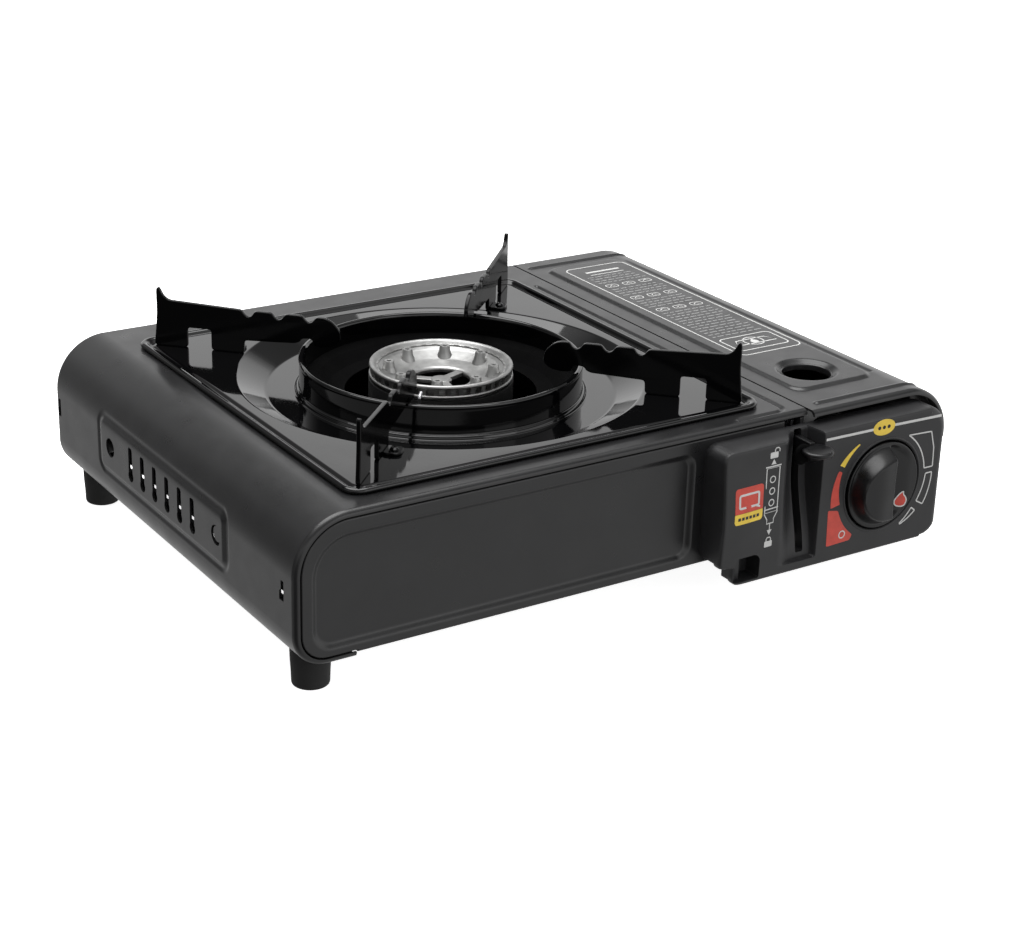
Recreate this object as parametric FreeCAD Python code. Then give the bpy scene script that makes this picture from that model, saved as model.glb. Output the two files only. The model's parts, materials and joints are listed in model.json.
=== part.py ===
"""Portable cassette stove: every sub-part as its own solid, in millimetres.

Frame: +X to the cartridge side, +Y to the back, +Z up. The origin is on the ground,
under the middle of the stove's outer box.
"""
import FreeCAD, Part
import math
import os

V = FreeCAD.Vector

# Casing
HALF_LENGTH = 170.0
FRONT_Y = -110.0
BACK_Y = 136.0
DECK_Z = 80.0
PAN_Z = 17.0
LIP_Z = 15.0
LIP_END_X = -142.0
TOP_RADIUS = 25.0
BOTTOM_RADIUS = 15.0
EDGE_ROUND = 2.5
SHEET = 1.0
RIM = 3.5
PANEL_GAP = 0.6
FLANGE_BACK = 2.1
DECK_END_X = 87.0
WALL_TOP_Z = 42.5
FIELD_DEPTH = 0.8

# Cartridge bay
DIVIDER_X = 84.0
TROUGH_Z = 9.0
TROUGH_X = (100.0, 146.0)
TROUGH_SLOPE = 6.0
TROUGH_Y = (-104.0, 130.0)
CARTRIDGE_X = 122.8
CARTRIDGE_Z = 44.0

# Lid
LID_X = 88.0
LID_FRONT_Y = -114.0
LID_BOTTOM_Z = 53.0
HINGE_X = 164.0
HINGE_Z = 50.0
HINGE_RADIUS = 2.0
HINGE_FIT = 0.05
EAR_RADIUS = 5.5
FRONT_EAR_Y = -106.0
REAR_EAR_Y = 131.0
PLATEAU_X = (97.0, 143.0)
PLATEAU_Y = (-91.0, 118.0)
PLATEAU_HEIGHT = 1.0
LID_HOLE = (118.9, -70.8)
LID_HOLE_RADIUS = 11.8

# Feet
FOOT_X = 155.0
FOOT_Y = (-94.5, 120.5)
FOOT_SCREW_X = 151.5
FOOT_RADIUS = 7.9
FOOT_TOP_RADIUS = 8.6

# Burner and tray
CENTRE_X = -34.0
CENTRE_Y = 6.0
WELL_HALF = 96.0
TRAY_HALF = 105.0
TRAY_RIM = 4.0
TRAY_CORNER = 8.0
TRAY_GAP = 0.1
TRAY_PLATE_Z = 80.4
TRAY_RIM_Z = 82.6
DISH_RADIUS = 92.5
HEAD_RADIUS = 33.0
HEAD_TOP_Z = 86.6
PORTS = 36
BOSSES = 8
BOSS_RING = 24.0
BOSS_START = 10.0
ARM_THICKNESS = 2.0
ARM_TOP_Z = 109.5

# Mixing tube and gas parts
TUBE_Z = 48.0
TUBE_Y = -79.0
TUBE_RADIUS = 6.5
TUBE_BORE = 5.5
TUBE_BEND_X = 52.0
TUBE_BEND_RADIUS = 30.0
KNOB_X = 122.8
KNOB_Z = 41.5
SPINDLE_RADIUS = 4.0
SPINDLE_FIT = 0.05

# Control panel, knob and lever
PANEL_FACE_Y = -124.0
PANEL_X = (30.5, 160.0)
PANEL_Z = (9.0, 74.0)
PANEL_WALL = 2.5
STEP_X = 86.0
SCOOP_Y = -114.5
CUP_RADIUS = 21.8
CUP_FLOOR_Y = -116.5
KNOB_RADIUS = 20.8
KNOB_BASE_Y = -116.0
KNOB_DISC_Y = -125.0
FRONTMOST_Y = -136.0
SLOT_X = (76.7, 81.0)
SLOT_Z = (16.5, 73.5)
LEVER_X = 78.9
LEVER_Z = 68.0
LEVER_TRAVEL = 46.0
YOKE_TRAVEL = 6.0
CAM_PIN_RADIUS = 1.5
CAM_PIN_Y = -97.0
CAM_PIN_Z = 70.0


# ---------------------------------------------------------------- helpers

def box(x, y, z):
    """Block between two values along each axis."""
    return Part.makeBox(x[1] - x[0], y[1] - y[0], z[1] - z[0], V(x[0], y[0], z[0]))


def rod(radius, start, end):
    """Cylinder from one point to another."""
    along = V(*end).sub(V(*start))
    return Part.makeCylinder(radius, along.Length, V(*start), along)


def fuse(shapes):
    """One solid from touching shapes, with no seams left inside."""
    return shapes[0].fuse(shapes[1:]).removeSplitter()


def rounded_wire(u, v, radii, place):
    """Rectangle with rounded corners, in the order low-low, high-low, high-high, low-high."""
    corners = [(u[0], v[0], 1, 1), (u[1], v[0], -1, 1), (u[1], v[1], -1, -1), (u[0], v[1], 1, -1)]
    stops = []
    for index, (cu, cv, du, dv) in enumerate(corners):
        r = radii[index]
        along_v = (cu, cv + dv * r)
        along_u = (cu + du * r, cv)
        k = r * (1 - math.sqrt(0.5))
        middle = (cu + du * k, cv + dv * k)
        first, last = (along_v, along_u) if index % 2 == 0 else (along_u, along_v)
        stops.append((first, middle, last, r))
    edges = []
    for index, (first, middle, last, r) in enumerate(stops):
        if r > 0:
            edges.append(Part.Arc(place(*first), place(*middle), place(*last)).toShape())
        following = stops[(index + 1) % 4][0]
        if math.dist(last, following) > 0.001:
            edges.append(Part.makeLine(place(*last), place(*following)))
    return Part.Wire(edges)


def front_slab(x, z, radii, y):
    """Rounded rectangle seen from the front, as thick as the y pair says."""
    wire = rounded_wire(x, z, radii, lambda a, b: V(a, y[0], b))
    return Part.Face(wire).extrude(V(0, y[1] - y[0], 0))


def top_slab(x, y, radius, z):
    """Rounded rectangle seen from above."""
    wire = rounded_wire(x, y, [radius] * 4, lambda a, b: V(a, b, z[0]))
    return Part.Face(wire).extrude(V(0, 0, z[1] - z[0]))


def side_slab(y, z, radius, x):
    """Rounded rectangle seen from the left end."""
    wire = rounded_wire(y, z, [radius] * 4, lambda a, b: V(x[0], a, b))
    return Part.Face(wire).extrude(V(x[1] - x[0], 0, 0))


def turned(outline, x=CENTRE_X, y=CENTRE_Y):
    """Solid of revolution about a vertical line, from (radius, height) points."""
    points = [V(r, 0, z) for r, z in outline]
    face = Part.Face(Part.makePolygon(points + points[:1]))
    solid = face.revolve(V(0, 0, 0), V(0, 0, 1), 360)
    solid.translate(V(x, y, 0))
    return solid


def plan_prism(points, z):
    """Straight-sided outline seen from above, between two heights."""
    corners = [V(x, y, z[0]) for x, y in points]
    return Part.Face(Part.makePolygon(corners + corners[:1])).extrude(V(0, 0, z[1] - z[0]))


def end_prism(points, y):
    """Straight-sided outline of (x, z) points seen from the front, along y."""
    corners = [V(x, y[0], z) for x, z in points]
    return Part.Face(Part.makePolygon(corners + corners[:1])).extrude(V(0, y[1] - y[0], 0))


def casing_slab(inset, y, bottom=LIP_Z):
    """The casing's rounded outline, drawn in by inset, between two y values."""
    top = TOP_RADIUS - inset
    low = BOTTOM_RADIUS - inset
    x = (-HALF_LENGTH + inset, HALF_LENGTH - inset)
    return front_slab(x, (bottom + inset, DECK_Z - inset), [low, low, top, top], y)


def casing_tub(front, back, bottom=LIP_Z):
    """Sheet casing with rounded rims round its open front and back."""
    solid = casing_slab(0, (front, back), bottom)
    ends = [e for e in solid.Edges if e.BoundBox.YLength < 0.01]
    solid = solid.makeFillet(EDGE_ROUND, ends)
    solid = solid.cut(casing_slab(SHEET, (front + SHEET, back - SHEET), bottom))
    return solid.cut(casing_slab(RIM, (front - 5, back + 5), bottom))


# ---------------------------------------------------------------- casing

def side_vents():
    """Cuts in the left end: a finger hole, six keyhole slots, a half-punched hole, two tab slots."""
    x = (-HALF_LENGTH - 3, -HALF_LENGTH + 3)
    cuts = [rod(4.5, (x[0], 70, 48), (x[1], 70, 48))]
    for index in range(6):
        y = 47.2 - 12.9 * index
        cuts.append(box(x, (y - 1.3, y + 1.3), (42, 55.7)))
        cuts.append(rod(2.3, (x[0], y, 42.2), (x[1], y, 42.2)))
    punched = rod(4.5, (x[0], -40.5, 48), (x[1], -40.5, 48))
    cuts.append(punched.cut(rod(4.5, (x[0] - 1, -42.6, 48.8), (x[1] + 1, -42.6, 48.8))))
    for y in (-99.0, 132.0):
        cuts.append(box(x, (y - 1, y + 1), (43, 51)))
    return cuts


def body_shell():
    """Deck, left end and bottom lip, bent from one sheet, with the square well for the tray."""
    shell = casing_tub(FRONT_Y, BACK_Y)
    shell = shell.cut(box((DECK_END_X, 300), (-300, 300), (-10, 200)))
    shell = shell.cut(box((LIP_END_X, 300), (-300, 300), (-10, 60)))
    panel = side_slab((-47.7, 81.5), (36, 59.3), 6, (-HALF_LENGTH - 0.5, -HALF_LENGTH + 0.5))
    flange = box((DECK_END_X - SHEET, DECK_END_X), (-107, 133), (73.5, 79.2))
    shell = fuse([shell, panel, flange])
    well_x = (CENTRE_X - WELL_HALF, CENTRE_X + WELL_HALF)
    well_y = (CENTRE_Y - WELL_HALF, CENTRE_Y + WELL_HALF)
    shell = shell.cut(top_slab(well_x, well_y, 20, (70, 90)))
    for cut in side_vents():
        shell = shell.cut(cut)
    grooves = [box((76.5, 79), (-107, 98), (79.6, 81)), box((52, 79), (-107, -104.6), (79.6, 81))]
    for groove in grooves:
        shell = shell.cut(groove)
    for y in FOOT_Y:
        shell = shell.cut(rod(1.7, (-FOOT_SCREW_X, y, 10), (-FOOT_SCREW_X, y, 20)))
    return shell


def end_panel(y_out, inward):
    """Pressed end plate: a face set into the rim, a flange behind it and a sunk field."""
    inset = RIM + PANEL_GAP
    low = BOTTOM_RADIUS - inset
    top = TOP_RADIUS - inset
    face_y = sorted((y_out, y_out + inward * FLANGE_BACK))
    half = HALF_LENGTH - inset
    above_lip = front_slab((-half, 0), (LIP_Z + inset, DECK_Z - inset), [low, 0, 0, top], face_y)
    beside_x = (LIP_END_X + PANEL_GAP, half)
    beside_lip = front_slab(beside_x, (PAN_Z + 0.4, DECK_Z - inset), [0, low, top, 0], face_y)
    flange_y = sorted((y_out + inward * (SHEET + 0.1), y_out + inward * FLANGE_BACK))
    flange_x = (-HALF_LENGTH + 1.5, DECK_END_X - 1.5)
    flange = front_slab(flange_x, (PAN_Z + 0.4, DECK_Z - 1.5), [12, 0, 0, 23], flange_y)
    return fuse([above_lip, beside_lip, flange])


def front_panel():
    """Front plate with the lever slot and the spindle hole."""
    panel = end_panel(FRONT_Y, 1)
    field_y = (FRONT_Y - 1, FRONT_Y + FIELD_DEPTH)
    panel = panel.cut(front_slab((-159.5, 26), (25.4, 71), [12, 7, 7, 17], field_y))
    panel = panel.cut(box((74, 83), (-120, -100), (14.5, 75)))
    panel = panel.cut(rod(14, (KNOB_X, -120, KNOB_Z), (KNOB_X, -100, KNOB_Z)))
    for x, z in PANEL_SCREWS:
        panel = panel.cut(rod(1.6, (x, -120, z), (x, -100, z)))
    return panel


def rear_panel():
    """Back plate with a sunk field and a row of vent slots."""
    panel = end_panel(BACK_Y, -1)
    field = front_slab((-159.5, 159.5), (25.4, 68), [12, 12, 17, 17], (BACK_Y - FIELD_DEPTH, BACK_Y + 1))
    panel = panel.cut(field)
    for index in range(10):
        x = -88 + 12 * index
        panel = panel.cut(front_slab((x - 1.5, x + 1.5), (38, 58), [1.4] * 4, (BACK_Y - 5, BACK_Y + 5)))
    return panel


def base_pan():
    """Bottom plate and right wall, with the sunk trough that the cartridge lies over."""
    tub = casing_tub(FRONT_Y, BACK_Y, PAN_Z)
    tub = tub.cut(box((-300, LIP_END_X + 0.5), (-300, 300), (-10, 200)))
    tub = tub.cut(box((-300, 300), (-300, 300), (WALL_TOP_Z, 200)))
    inner_x = (-300, HALF_LENGTH - RIM)
    tub = tub.cut(box(inner_x, (FRONT_Y - 5, FRONT_Y + 2.5), (-10, 60)))
    tub = tub.cut(box(inner_x, (BACK_Y - 2.5, BACK_Y + 5), (-10, 60)))
    x0, x1 = TROUGH_X
    tub = tub.cut(box((x0 + SHEET, x1 - SHEET), TROUGH_Y, (PAN_Z - 5, PAN_Z + 5)))
    outer = [(x0, PAN_Z + 1), (x0 + TROUGH_SLOPE, TROUGH_Z), (x1 - TROUGH_SLOPE, TROUGH_Z), (x1, PAN_Z + 1)]
    s = SHEET
    inner = [(x0 + s, PAN_Z + 2), (x0 + s, PAN_Z + 1), (x0 + TROUGH_SLOPE + s / 2, TROUGH_Z + s)]
    inner += [(x1 - TROUGH_SLOPE - s / 2, TROUGH_Z + s), (x1 - s, PAN_Z + 1), (x1 - s, PAN_Z + 2)]
    trough = end_prism(outer, TROUGH_Y)
    trough = trough.cut(end_prism(inner, (TROUGH_Y[0] + s, TROUGH_Y[1] - s)))
    pan = fuse([tub, trough])
    for y in FOOT_Y:
        pan = pan.cut(rod(1.7, (FOOT_SCREW_X, y, 10), (FOOT_SCREW_X, y, 22)))
    return pan


def bay_divider():
    """Upright sheet between the burner chamber and the cartridge bay, with a foot flange."""
    x = (DIVIDER_X, DIVIDER_X + SHEET)
    wall = box(x, (-107.5, 133.5), (PAN_Z + 1, DECK_Z - 1.3))
    foot = box((DIVIDER_X - 8, DIVIDER_X + SHEET), (-92, 133.5), (PAN_Z + 1, PAN_Z + 2))
    wall = fuse([wall, foot])
    wall = wall.cut(rod(8, (80, TUBE_Y, TUBE_Z), (90, TUBE_Y, TUBE_Z)))
    wall = wall.cut(rod(2.5, (80, -82, 22.5), (90, -82, 22.5)))
    slot_z = (CAM_PIN_Z - LEVER_TRAVEL - 2.5, CAM_PIN_Z + 2.5)
    return wall.cut(box((80, 90), (CAM_PIN_Y - 2.2, CAM_PIN_Y + 2.2), slot_z))


def bay_guard():
    """Inner wall of the cartridge bay, just inside the lid's hinge."""
    inside = [(150, 18), (154, 18), (160, 20.4), (161, 20.4), (161, 60)]
    return end_prism(inside + [(160, 60), (160, 21.5), (153.8, 19), (150, 19)], (-88, 114))


def heat_shield():
    """Bright sheet that keeps the burner's heat off the divider."""
    return box((DIVIDER_X - 6, DIVIDER_X - 5), (-60, 120), (PAN_Z + 2.2, DECK_Z - 6))


def foot(x_sign, y):
    """Tapered rubber foot, its top shaped to the casing it is screwed to."""
    x = x_sign * FOOT_X
    cone = Part.makeCone(FOOT_RADIUS, FOOT_TOP_RADIUS, 20, V(x, y, 0))
    bottom = LIP_Z if x_sign < 0 else PAN_Z
    cone = cone.cut(casing_slab(0, (-200, 200), bottom))
    screw_x = x_sign * FOOT_SCREW_X
    cone = cone.cut(rod(1.7, (screw_x, y, 6), (screw_x, y, 30)))
    return cone.cut(rod(4, (x, y, -1), (x, y, 4)))


def foot_screws():
    """Four screws that hold the feet, heads inside the casing."""
    screws = []
    for x_sign, floor in ((-1, LIP_Z + SHEET), (1, PAN_Z + SHEET)):
        x = x_sign * FOOT_SCREW_X
        for y in FOOT_Y:
            head = rod(3, (x, y, floor), (x, y, floor + 1.8))
            screws.append(fuse([head, rod(1.4, (x, y, 7), (x, y, floor + 0.5))]))
    return Part.makeCompound(screws)


# ---------------------------------------------------------------- lid

def lid_ear(y):
    """Hinge ear inside one end of the lid."""
    inner = casing_slab(0.8, (y, y + SHEET))
    web = inner.common(box((152, 175), (-300, 300), (52, 90)))
    boss = rod(EAR_RADIUS, (HINGE_X, y, HINGE_Z), (HINGE_X, y + SHEET, HINGE_Z))
    hole = rod(HINGE_RADIUS + HINGE_FIT, (HINGE_X, y - 1, HINGE_Z), (HINGE_X, y + 3, HINGE_Z))
    return web.fuse(boss).cut(hole)


def cartridge_lid():
    """Lid over the cartridge bay, rounded down its right side, with a raised label field."""
    lid = casing_tub(LID_FRONT_Y, BACK_Y)
    lid = lid.cut(box((-300, LID_X), (-300, 300), (-10, 200)))
    lid = lid.cut(box((-300, 300), (-300, 300), (-10, LID_BOTTOM_Z)))
    edge = box((LID_X, LID_X + SHEET), (LID_FRONT_Y + 2, BACK_Y - 2), (76.3, 79.2))
    plateau = top_slab(PLATEAU_X, PLATEAU_Y, 7, (DECK_Z - 0.5, DECK_Z + PLATEAU_HEIGHT))
    beads = [box((97, 153), (-107, -105), (79.5, 80.7)), box((93, 152), (123, 125), (79.5, 80.7))]
    lid = fuse([lid, edge, plateau] + beads + [lid_ear(FRONT_EAR_Y), lid_ear(REAR_EAR_Y)])
    x, y = LID_HOLE
    lid = lid.cut(rod(LID_HOLE_RADIUS, (x, y, 70), (x, y, 90)))
    return lid.cut(rod(14.5, (x, y, DECK_Z + 0.2), (x, y, 90)))


def hinge_pins():
    """Two pins on the end plates that the lid's ears turn on."""
    pins = []
    pairs = ((FRONT_Y + FLANGE_BACK, FRONT_EAR_Y), (BACK_Y - FLANGE_BACK, REAR_EAR_Y + SHEET))
    for plate_y, ear_y in pairs:
        inward = 1 if plate_y < 0 else -1
        head_y = ear_y + inward * (SHEET + 0.2)
        shank = rod(HINGE_RADIUS, (HINGE_X, plate_y, HINGE_Z), (HINGE_X, head_y, HINGE_Z))
        head = rod(3.2, (HINGE_X, head_y, HINGE_Z), (HINGE_X, head_y + inward, HINGE_Z))
        pins.append(fuse([shank, head]))
    return Part.makeCompound(pins)


# ---------------------------------------------------------------- gas parts

def gas_valve():
    """Die-cast valve block with the bore for the spindle."""
    block = box((108, 138), (-98, -84), (29, 57))
    return block.cut(rod(SPINDLE_RADIUS + SPINDLE_FIT, (KNOB_X, -99, KNOB_Z), (KNOB_X, -89.5, KNOB_Z)))


def regulator():
    """Round pressure regulator behind the valve block."""
    x, z = CARTRIDGE_X, CARTRIDGE_Z
    body = fuse([rod(19, (x, -84, z), (x, -75.4, z)), rod(16, (x, -75.4, z), (x, -74, z))])
    return body.cut(rod(3, (100, TUBE_Y, TUBE_Z), (108, TUBE_Y, TUBE_Z)))


def cartridge_seat():
    """Brass seat that the cartridge's nozzle is pressed into."""
    x, z = CARTRIDGE_X, CARTRIDGE_Z
    seat = fuse([rod(9, (x, -74, z), (x, -71, z)), rod(6, (x, -71, z), (x, -66, z))])
    return seat.cut(rod(2.2, (x, -73, z), (x, -65, z)))


def gas_jet():
    """Brass jet that sprays gas into the mixing tube."""
    shank = rod(2.9, (99, TUBE_Y, TUBE_Z), (107, TUBE_Y, TUBE_Z))
    hexagon = rod(4.2, (99, TUBE_Y, TUBE_Z), (102.5, TUBE_Y, TUBE_Z))
    return fuse([shank, hexagon]).cut(rod(0.4, (98, TUBE_Y, TUBE_Z), (108, TUBE_Y, TUBE_Z)))


def bent_path(points, radii):
    """Straight runs through the points, joined by arcs tangent to both."""
    corners = [V(*p) for p in points]
    edges = []
    start = corners[0]
    for before, corner, after, radius in zip(corners, corners[1:], corners[2:], radii):
        towards = before.sub(corner).normalize()
        away = after.sub(corner).normalize()
        half = towards.getAngle(away) / 2
        reach = radius / math.tan(half)
        first = corner.add(V(towards).multiply(reach))
        last = corner.add(V(away).multiply(reach))
        bisector = towards.add(away).normalize()
        middle = corner.add(bisector.multiply(radius / math.sin(half) - radius))
        edges.append(Part.makeLine(start, first))
        edges.append(Part.Arc(first, middle, last).toShape())
        start = last
    edges.append(Part.makeLine(start, corners[-1]))
    return Part.Wire(edges)


def pipe(points, radii, radius):
    """Round bar swept along a bent path."""
    path = bent_path(points, radii)
    start = V(*points[0])
    along = V(*points[1]).sub(start)
    circle = Part.Wire(Part.Circle(start, along, radius).toShape())
    return path.makePipeShell([circle], True, False)


def tube_points(end_radius):
    """Route of the mixing tube: along the bay, then across to the bowl."""
    dx = TUBE_BEND_X - CENTRE_X
    dy = TUBE_Y - CENTRE_Y
    length = math.hypot(dx, dy)
    end = (CENTRE_X + dx / length * end_radius, CENTRE_Y + dy / length * end_radius, TUBE_Z)
    return [(97, TUBE_Y, TUBE_Z), (TUBE_BEND_X, TUBE_Y, TUBE_Z), end]


def mixing_tube():
    """Steel tube that carries gas and air from the jet to the bowl."""
    outer = pipe(tube_points(16), [TUBE_BEND_RADIUS], TUBE_RADIUS)
    bore = pipe(tube_points(14), [TUBE_BEND_RADIUS], TUBE_BORE)
    tube = outer.cut(bore)
    return tube.cut(rod(20.05, (CENTRE_X, CENTRE_Y, 30), (CENTRE_X, CENTRE_Y, 70)))


def burner_bowl():
    """Cast bowl under the head, with the tube's port and two screw holes."""
    outline = [(33.2, 79.3), (31.2, 79.3), (31.2, 72), (18, 58), (18, 42), (0, 42)]
    outline += [(0, 39.5), (20, 39.5), (20, 57), (33.2, 70.5)]
    bowl = turned(outline)
    bowl = bowl.cut(rod(TUBE_BORE, tube_points(10)[2], tube_points(24)[2]))
    for dx in (-10, 10):
        x = CENTRE_X + dx
        bowl = bowl.cut(rod(1.6, (x, CENTRE_Y, 39), (x, CENTRE_Y, 41.5)))
    return bowl


def burner_head():
    """Cast head: rim, slotted port band, funnel with eight drilled bosses, spoked middle."""
    r = HEAD_RADIUS
    top = HEAD_TOP_Z
    outline = [(r, top), (r, 81.6), (34.6, 81.2), (34.6, 79.5), (31, 79.5), (31, 77.5), (28.6, 77.5)]
    outline += [(28.6, 80), (13.5, 76), (13.5, 78.5), (21, 80), (28, 82.8), (30.2, 85.2), (31.3, top)]
    head = turned(outline)
    x, y = CENTRE_X, CENTRE_Y
    for index in range(PORTS):
        port = box((28.9, r + 2), (-1, 1), (82.3, 84.6))
        port.rotate(V(0, 0, 0), V(0, 0, 1), 360 / PORTS * index)
        port.translate(V(x, y, 0))
        head = head.cut(port.cut(rod(31.4, (x, y, 80), (x, y, 90))))
    pieces = [head, rod(5, (x, y, 76), (x, y, 78.2))]
    for index in range(3):
        spoke = box((3, 14), (-2, 2), (76, 78.2))
        spoke.rotate(V(0, 0, 0), V(0, 0, 1), 20 + 120 * index)
        spoke.translate(V(x, y, 0))
        pieces.append(spoke)
    for index in range(BOSSES):
        angle = math.radians(BOSS_START + 360 / BOSSES * index)
        bx = x + BOSS_RING * math.cos(angle)
        by = y + BOSS_RING * math.sin(angle)
        pieces.append(Part.makeCone(3, 2.2, 7.3, V(bx, by, 79)))
    head = fuse(pieces)
    for index in range(BOSSES):
        angle = math.radians(BOSS_START + 360 / BOSSES * index)
        bx = x + BOSS_RING * math.cos(angle)
        by = y + BOSS_RING * math.sin(angle)
        head = head.cut(rod(0.8, (bx, by, 82), (bx, by, 90)))
    return head


def burner_bracket():
    """Bridge of steel strip that carries the bowl."""
    x = (CENTRE_X - 22, CENTRE_X + 22)
    y = (CENTRE_Y - 8, CENTRE_Y + 8)
    bridge = box(x, y, (PAN_Z + 1, 39.5)).cut(box((x[0] + 1.5, x[1] - 1.5), (-50, 50), (0, 38)))
    for dx in (-10, 10):
        bridge = bridge.cut(rod(1.6, (CENTRE_X + dx, CENTRE_Y, 30), (CENTRE_X + dx, CENTRE_Y, 45)))
    return bridge


def burner_screws():
    """Two screws up through the bracket into the bowl."""
    screws = []
    for dx in (-10, 10):
        x = CENTRE_X + dx
        head = rod(3, (x, CENTRE_Y, 36), (x, CENTRE_Y, 38))
        screws.append(fuse([head, rod(1.5, (x, CENTRE_Y, 37), (x, CENTRE_Y, 41))]))
    return Part.makeCompound(screws)


# ---------------------------------------------------------------- ignition

ELECTRODE_X = CENTRE_X - 28.0
ELECTRODE_Y = CENTRE_Y - 28.0


def electrode_bracket():
    """Strip from the bowl's side that holds the electrode."""
    strip = box((32.6, 43.5), (-4, 4), (62, 63.2))
    strip = strip.fuse(box((32.6, 33.6), (-4, 4), (55, 62.5)))
    strip = strip.cut(rod(2.4, (39.6, 0, 60), (39.6, 0, 65)))
    strip.rotate(V(0, 0, 0), V(0, 0, 1), 225)
    strip.translate(V(CENTRE_X, CENTRE_Y, 0))
    link = box((20.2, 33.4), (-3, 3), (55, 56.2))
    link.rotate(V(0, 0, 0), V(0, 0, 1), 225)
    link.translate(V(CENTRE_X, CENTRE_Y, 0))
    return fuse([strip, link])


def electrode_insulator():
    """Ceramic sleeve round the electrode."""
    x, y = ELECTRODE_X, ELECTRODE_Y
    sleeve = fuse([rod(2.3, (x, y, 56), (x, y, 79)), rod(3.2, (x, y, 63.2), (x, y, 66))])
    return sleeve.cut(rod(0.9, (x, y, 50), (x, y, 85)))


def electrode_rod():
    """Steel wire whose bent tip sparks to the head."""
    x, y = ELECTRODE_X, ELECTRODE_Y
    return pipe([(x, y, 57), (x, y, 83.5), (x + 2.2, y + 2.2, 84.5)], [1.2], 0.85)


def piezo_igniter():
    """Sealed click igniter beside the valve block."""
    case = box((143, 157), (-104, -68), (22, 40))
    return fuse([case, rod(3, (150, -106.5, 31), (150, -104, 31))])


def ignition_lead():
    """Insulated lead from the igniter, under the valve, to the foot of the electrode."""
    x, y = ELECTRODE_X, ELECTRODE_Y
    points = [(142.9, -82, 22.6), (115, -83, 22.4), (84.5, -82, 22.5), (48, -83, 22), (10, -74, 22.5)]
    points += [(-24, -56, 22), (-50, -38, 26), (x, y, 40), (x, y, 55.9)]
    radii = [90, 120, 90, 60, 50, 40, 18]
    return pipe(points, radii, 1.2)


# ---------------------------------------------------------------- tray and pan supports

def drip_tray():
    """Enamelled tray: raised square rim, sunk dish, straight collar round the burner."""
    x, y = CENTRE_X, CENTRE_Y
    half = TRAY_HALF
    rim_z = (DECK_Z + TRAY_GAP, TRAY_RIM_Z)
    rim = top_slab((x - half, x + half), (y - half, y + half), TRAY_CORNER, rim_z)
    half = TRAY_HALF - TRAY_RIM
    inside = top_slab((x - half, x + half), (y - half, y + half), TRAY_CORNER - 3, (70, 90))
    plate_z = (TRAY_PLATE_Z, TRAY_PLATE_Z + SHEET)
    half = TRAY_HALF - 1
    plate = top_slab((x - half, x + half), (y - half, y + half), TRAY_CORNER - 1, plate_z)
    plate = plate.cut(rod(DISH_RADIUS - 0.3, (x, y, 70), (x, y, 90)))
    upper = [(DISH_RADIUS, 81.4), (79.5, 74), (66.8, 74), (66.3, 75.6), (65.2, 76), (65, 88.7)]
    upper += [(63.7, 89.5), (62.4, 88.7), (61.8, 79), (58, 78), (52.4, 73.6), (44, 73.6)]
    lower = [(44, 72.6), (52.8, 72.6), (58.4, 77), (62.2, 78), (64, 77.4), (65.8, 73), (79.3, 73)]
    dish = turned(upper + lower + [(DISH_RADIUS, 80.4)])
    return fuse([rim.cut(inside), plate, dish])


def arm_outline():
    """Side view of one pan support: distance out from the burner's axis, and height."""
    nose = [(60.5, 88.3), (56, 87.9), (50.5, 89), (47.4, 92), (48, 96.8), (51.5, 100.6), (55, 102.2)]
    notches = [(59.4, 102.3)]
    for middle in (62.6, 77.4, 92.0):
        notches += [(middle - 1.6, 99.8), (middle, 99.2), (middle + 1.6, 99.8), (middle + 3.4, 102.4)]
        if middle < 90:
            notches.append((middle + 11.4, 102.4))
    horn = [(131, 103.8), (133.4, 105.6), (135.2, 109.3), (136.2, ARM_TOP_Z), (136.9, 108.6)]
    foot_edge = [(136.8, 97), (137.6, 88), (138.4, 81.4), (94.5, 81.4), (94.2, 87.6)]
    hook = [(69.5, 88.6), (67.2, 89.6), (66.4, 91.2), (62, 91.6), (61, 90.6)]
    return nose + notches + horn + foot_edge + hook


def support_arm(angle):
    """Pan support of sheet steel, standing on the tray's diagonal at the given angle."""
    half = ARM_THICKNESS / 2
    corners = [V(s, -half, z) for s, z in arm_outline()]
    arm = Part.Face(Part.makePolygon(corners + corners[:1])).extrude(V(0, ARM_THICKNESS, 0))
    arm = arm.cut(front_slab((110.3, 122), (75, 91.2), [1.2] * 4, (-5, 5)))
    arm.rotate(V(0, 0, 0), V(0, 0, 1), angle)
    arm.translate(V(CENTRE_X, CENTRE_Y, 0))
    return arm


# ---------------------------------------------------------------- controls

PANEL_SCREWS = [(37.5, 66.0), (37.5, 30.0), (146.0, 64.0), (148.0, 24.0)]


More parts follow.
